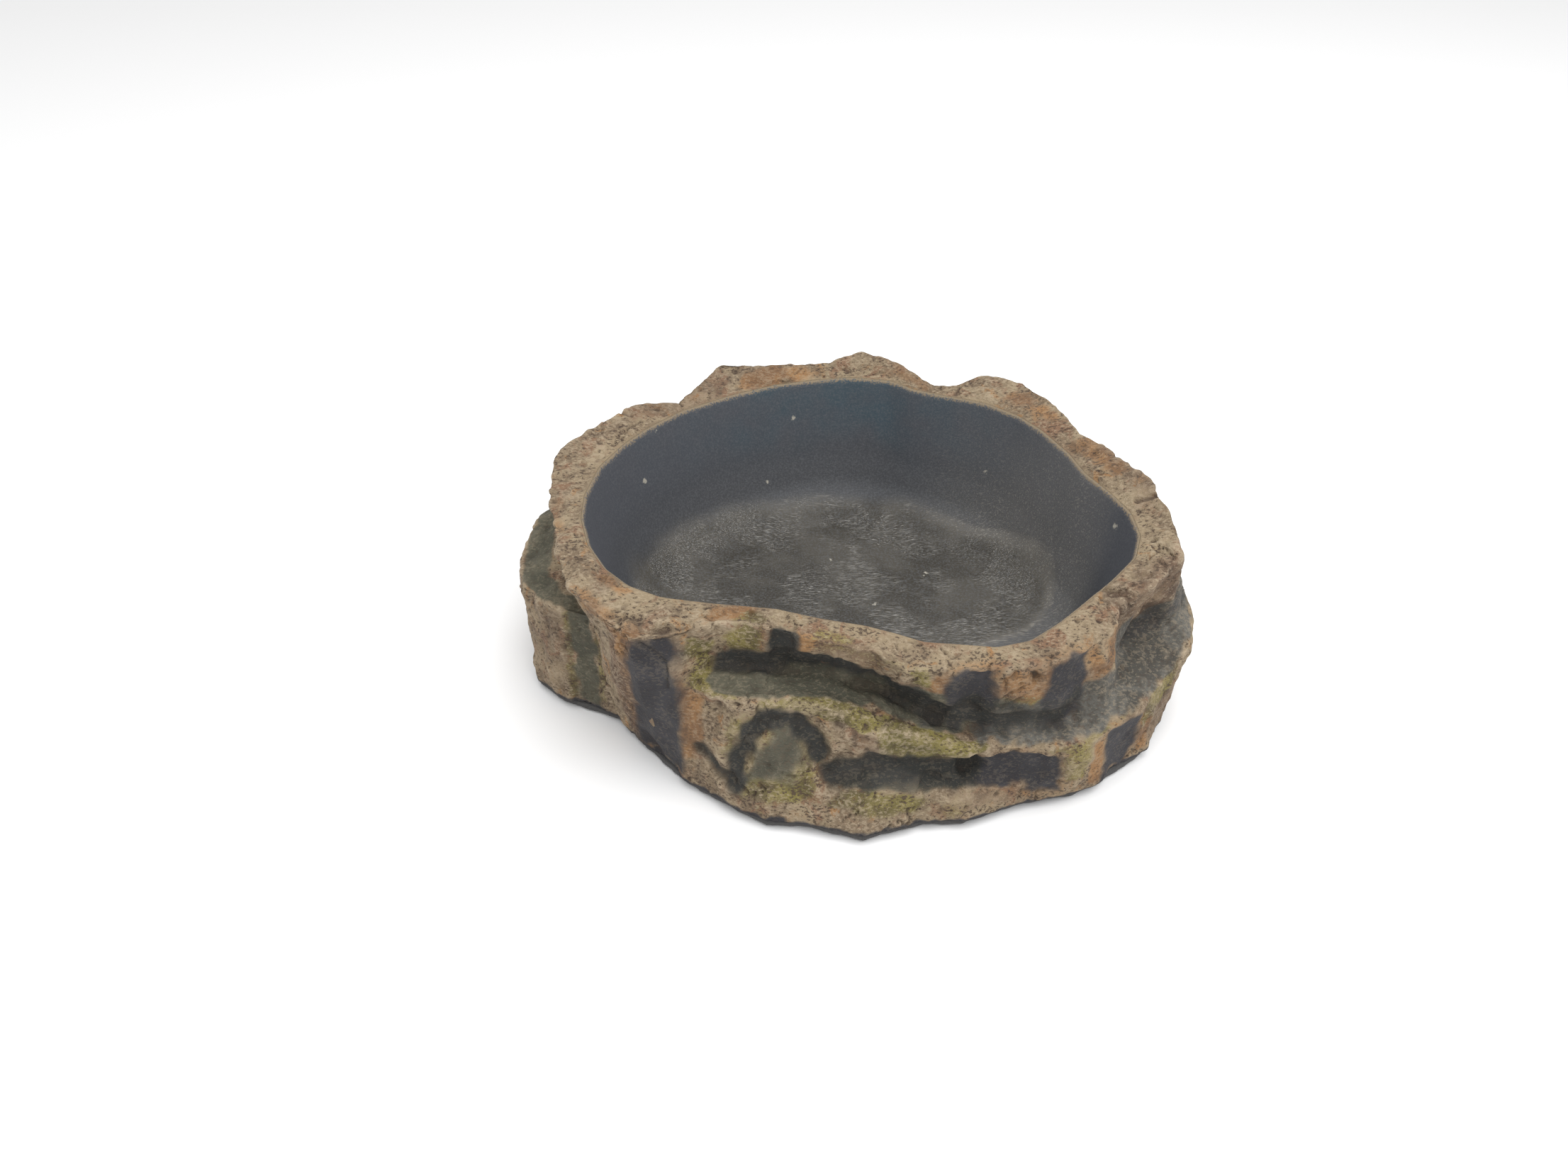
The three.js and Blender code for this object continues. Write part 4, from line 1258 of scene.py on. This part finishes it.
@dataclass
class BasePlate:
    """The flat plate that closes the rock ring from below, with four shallow pockets."""

    rock: RockShell
    inset: float = 1.6  # mm, in from the foot of the rock
    bottom: float = 0.8
    top: float = 4.15
    pocket_radius: float = 11.3
    pocket_top: float = 1.9
    columns: int = 720

    def build(self) -> bpy.types.Object:
        """Makes the plate's mesh, with a chipped, rounded edge.

        Returns:
            The new object.
        """
        angles = np.linspace(-180, 180, self.columns, endpoint=False)
        edge = on_outline(FOOT, angles)
        rough = 0.5 * rugged(edge, 7.0, 3, 51)
        radius = np.linalg.norm(edge[:, :2], axis=1) - self.inset + rough
        rows = (
            (20.0, self.top), (1.2, self.top), (0.3, self.top - 0.5), (0.0, self.top - 1.3),
            (0.2, self.bottom + 0.7), (0.9, self.bottom), (6.0, self.bottom),
        )
        turn = np.radians(angles)
        grid = np.stack([
            np.column_stack([
                (radius - away) * np.cos(turn), (radius - away) * np.sin(turn),
                np.full(len(turn), height),
            ]) for away, height in rows
        ], 1)
        grid[..., :2] += self.rock.plan_shift
        count = len(rows)
        faces = ring_faces(self.columns, count, closed=False)[:, ::-1].tolist()
        faces.append(tuple(i * count for i in range(self.columns)))
        faces.append(tuple(i * count + count - 1 for i in reversed(range(self.columns))))
        plate = make_piece("plate_cast", grid.reshape(-1, 3), faces, {})
        for pad in NonSlipPads.nodes():
            self.pocket(plate, pad)
        plate.data.set_sharp_from_angle(angle=math.radians(30))
        return plate

    def pocket(self, plate: bpy.types.Object, pad: str) -> None:
        """Cuts one pad's pocket into the plate.

        Args:
            plate: The plate.
            pad: The pad's solid, by name.
        """
        low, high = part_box(pad)
        middle = (Vector(low) + Vector(high)) / 2
        bpy.ops.mesh.primitive_cylinder_add(
            vertices=96, radius=self.pocket_radius * MM, depth=self.pocket_top * MM * 2,
            location=(middle.x, middle.y, 0),
        )
        cutter = bpy.context.object
        cut = plate.modifiers.new("pocket", "BOOLEAN")
        cut.operation, cut.object, cut.solver = "DIFFERENCE", cutter, "EXACT"
        bpy.context.view_layer.objects.active = plate
        bpy.ops.object.modifier_apply(modifier=cut.name)
        bpy.data.objects.remove(cutter, do_unlink=True)


@dataclass
class NonSlipPads:
    """The four round foam pads."""

    sides: int = 72

    @staticmethod
    def nodes() -> list[str]:
        """The pads' solids, by name."""
        return sorted(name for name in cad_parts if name.startswith("non_slip_pad"))

    def build(self, node: str) -> bpy.types.Object:
        """Makes one pad: a disc with a softly rounded edge, in its solid's place.

        Args:
            node: The pad's solid, by name.

        Returns:
            The new object.
        """
        low, high = (np.array(corner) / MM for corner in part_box(node))
        middle, radius = (low + high) / 2, (high[0] - low[0]) / 2
        thick = high[2] - low[2]
        turn = np.linspace(0, 2 * math.pi, self.sides, endpoint=False)
        # shares of the radius and of the thickness
        rows = ((0.9, 0.0), (0.965, 0.08), (1.0, 0.3), (1.0, 0.8), (0.97, 1.0))
        grid = np.stack([
            np.column_stack([
                middle[0] + radius * r * np.cos(turn), middle[1] + radius * r * np.sin(turn),
                np.full(self.sides, low[2] + thick * z),
            ]) for r, z in rows
        ], 1)
        count = len(rows)
        faces = ring_faces(self.sides, count, closed=False).tolist()
        faces.append(tuple(i * count for i in reversed(range(self.sides))))
        faces.append(tuple(i * count + count - 1 for i in range(self.sides)))
        return make_piece(node.replace("non_slip_pad", "foam_pad"), grid.reshape(-1, 3), faces, {})


# ---------- the studio ----------


@dataclass
class Studio:
    """A plain pale floor, soft light and one camera."""

    camera_place: tuple[float, float, float] = (-27.3, -392.2, 336.1)  # mm
    tilt: float = 38.0  # degrees below level
    lens: float = 26.0
    sensor: float = 36.0

    def build(self) -> None:
        """Makes the camera, the floor and the lights."""
        data = bpy.data.cameras.new("camera")
        data.lens, data.sensor_width = self.lens, self.sensor
        camera = bpy.data.objects.new("camera", data)
        camera.location = Vector(self.camera_place) * MM
        camera.rotation_euler = (math.radians(90 - self.tilt), 0, 0)
        bpy.context.scene.collection.objects.link(camera)
        bpy.context.scene.camera = camera
        self.lay_floor()
        self.light_sky()
        self.hang_lamp("key", (0.3, -0.3, 1.45), 1.6, 21.0)

    def lay_floor(self) -> None:
        """Lays a wide pale floor under the dish."""
        bpy.ops.mesh.primitive_plane_add(size=12.0, location=(0, 0, 0))
        floor = bpy.context.object
        floor.name = "studio_floor"
        made = bpy.data.materials.new("pale_paper")
        made.use_nodes = True
        shader = made.node_tree.nodes["Principled BSDF"]
        shader.inputs["Base Color"].default_value = linear("#f6f6f6")
        shader.inputs["Roughness"].default_value = 0.9
        shader.inputs["Specular IOR Level"].default_value = 0.1
        floor.data.materials.append(made)

    def light_sky(self) -> None:
        """Gives even white light from all round."""
        world = bpy.data.worlds.new("studio")
        world.use_nodes = True
        world.node_tree.nodes["Background"].inputs["Color"].default_value = (1, 1, 1, 1)
        world.node_tree.nodes["Background"].inputs["Strength"].default_value = 0.8
        bpy.context.scene.world = world
        bpy.context.scene.view_settings.view_transform = "Standard"

    def hang_lamp(
        self, name: str, place: tuple[float, float, float], size: float, power: float,
    ) -> None:
        """Hangs a square soft light, aimed at the dish.

        Args:
            name: The light's name.
            place: Where it hangs, in metres.
            size: The length of its sides, in metres.
            power: Its power, in watts.
        """
        data = bpy.data.lights.new(name, "AREA")
        data.shape, data.size, data.energy = "SQUARE", size, power
        lamp = bpy.data.objects.new(name, data)
        lamp.location = place
        lamp.rotation_euler = (-Vector(place)).to_track_quat("-Z", "Y").to_euler()
        bpy.context.scene.collection.objects.link(lamp)


def main() -> None:
    """Builds the studio and the dish, piece by piece."""
    logging.basicConfig(level=logging.INFO, format="%(name)s: %(message)s")
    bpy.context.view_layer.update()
    Studio().build()
    rock = RockShell()
    settle(rock.build(), "rock_shell", PaintedRock().material())
    settle(BasinLiner(rock).build(), "basin_liner", SealedBasin().material())
    settle(BasePlate(rock).build(), "base_plate", BACKING.material())
    foam = FOAM.material()
    for node in NonSlipPads.nodes():
        settle(NonSlipPads().build(node), node, foam)


if __name__ == "__main__":
    main()
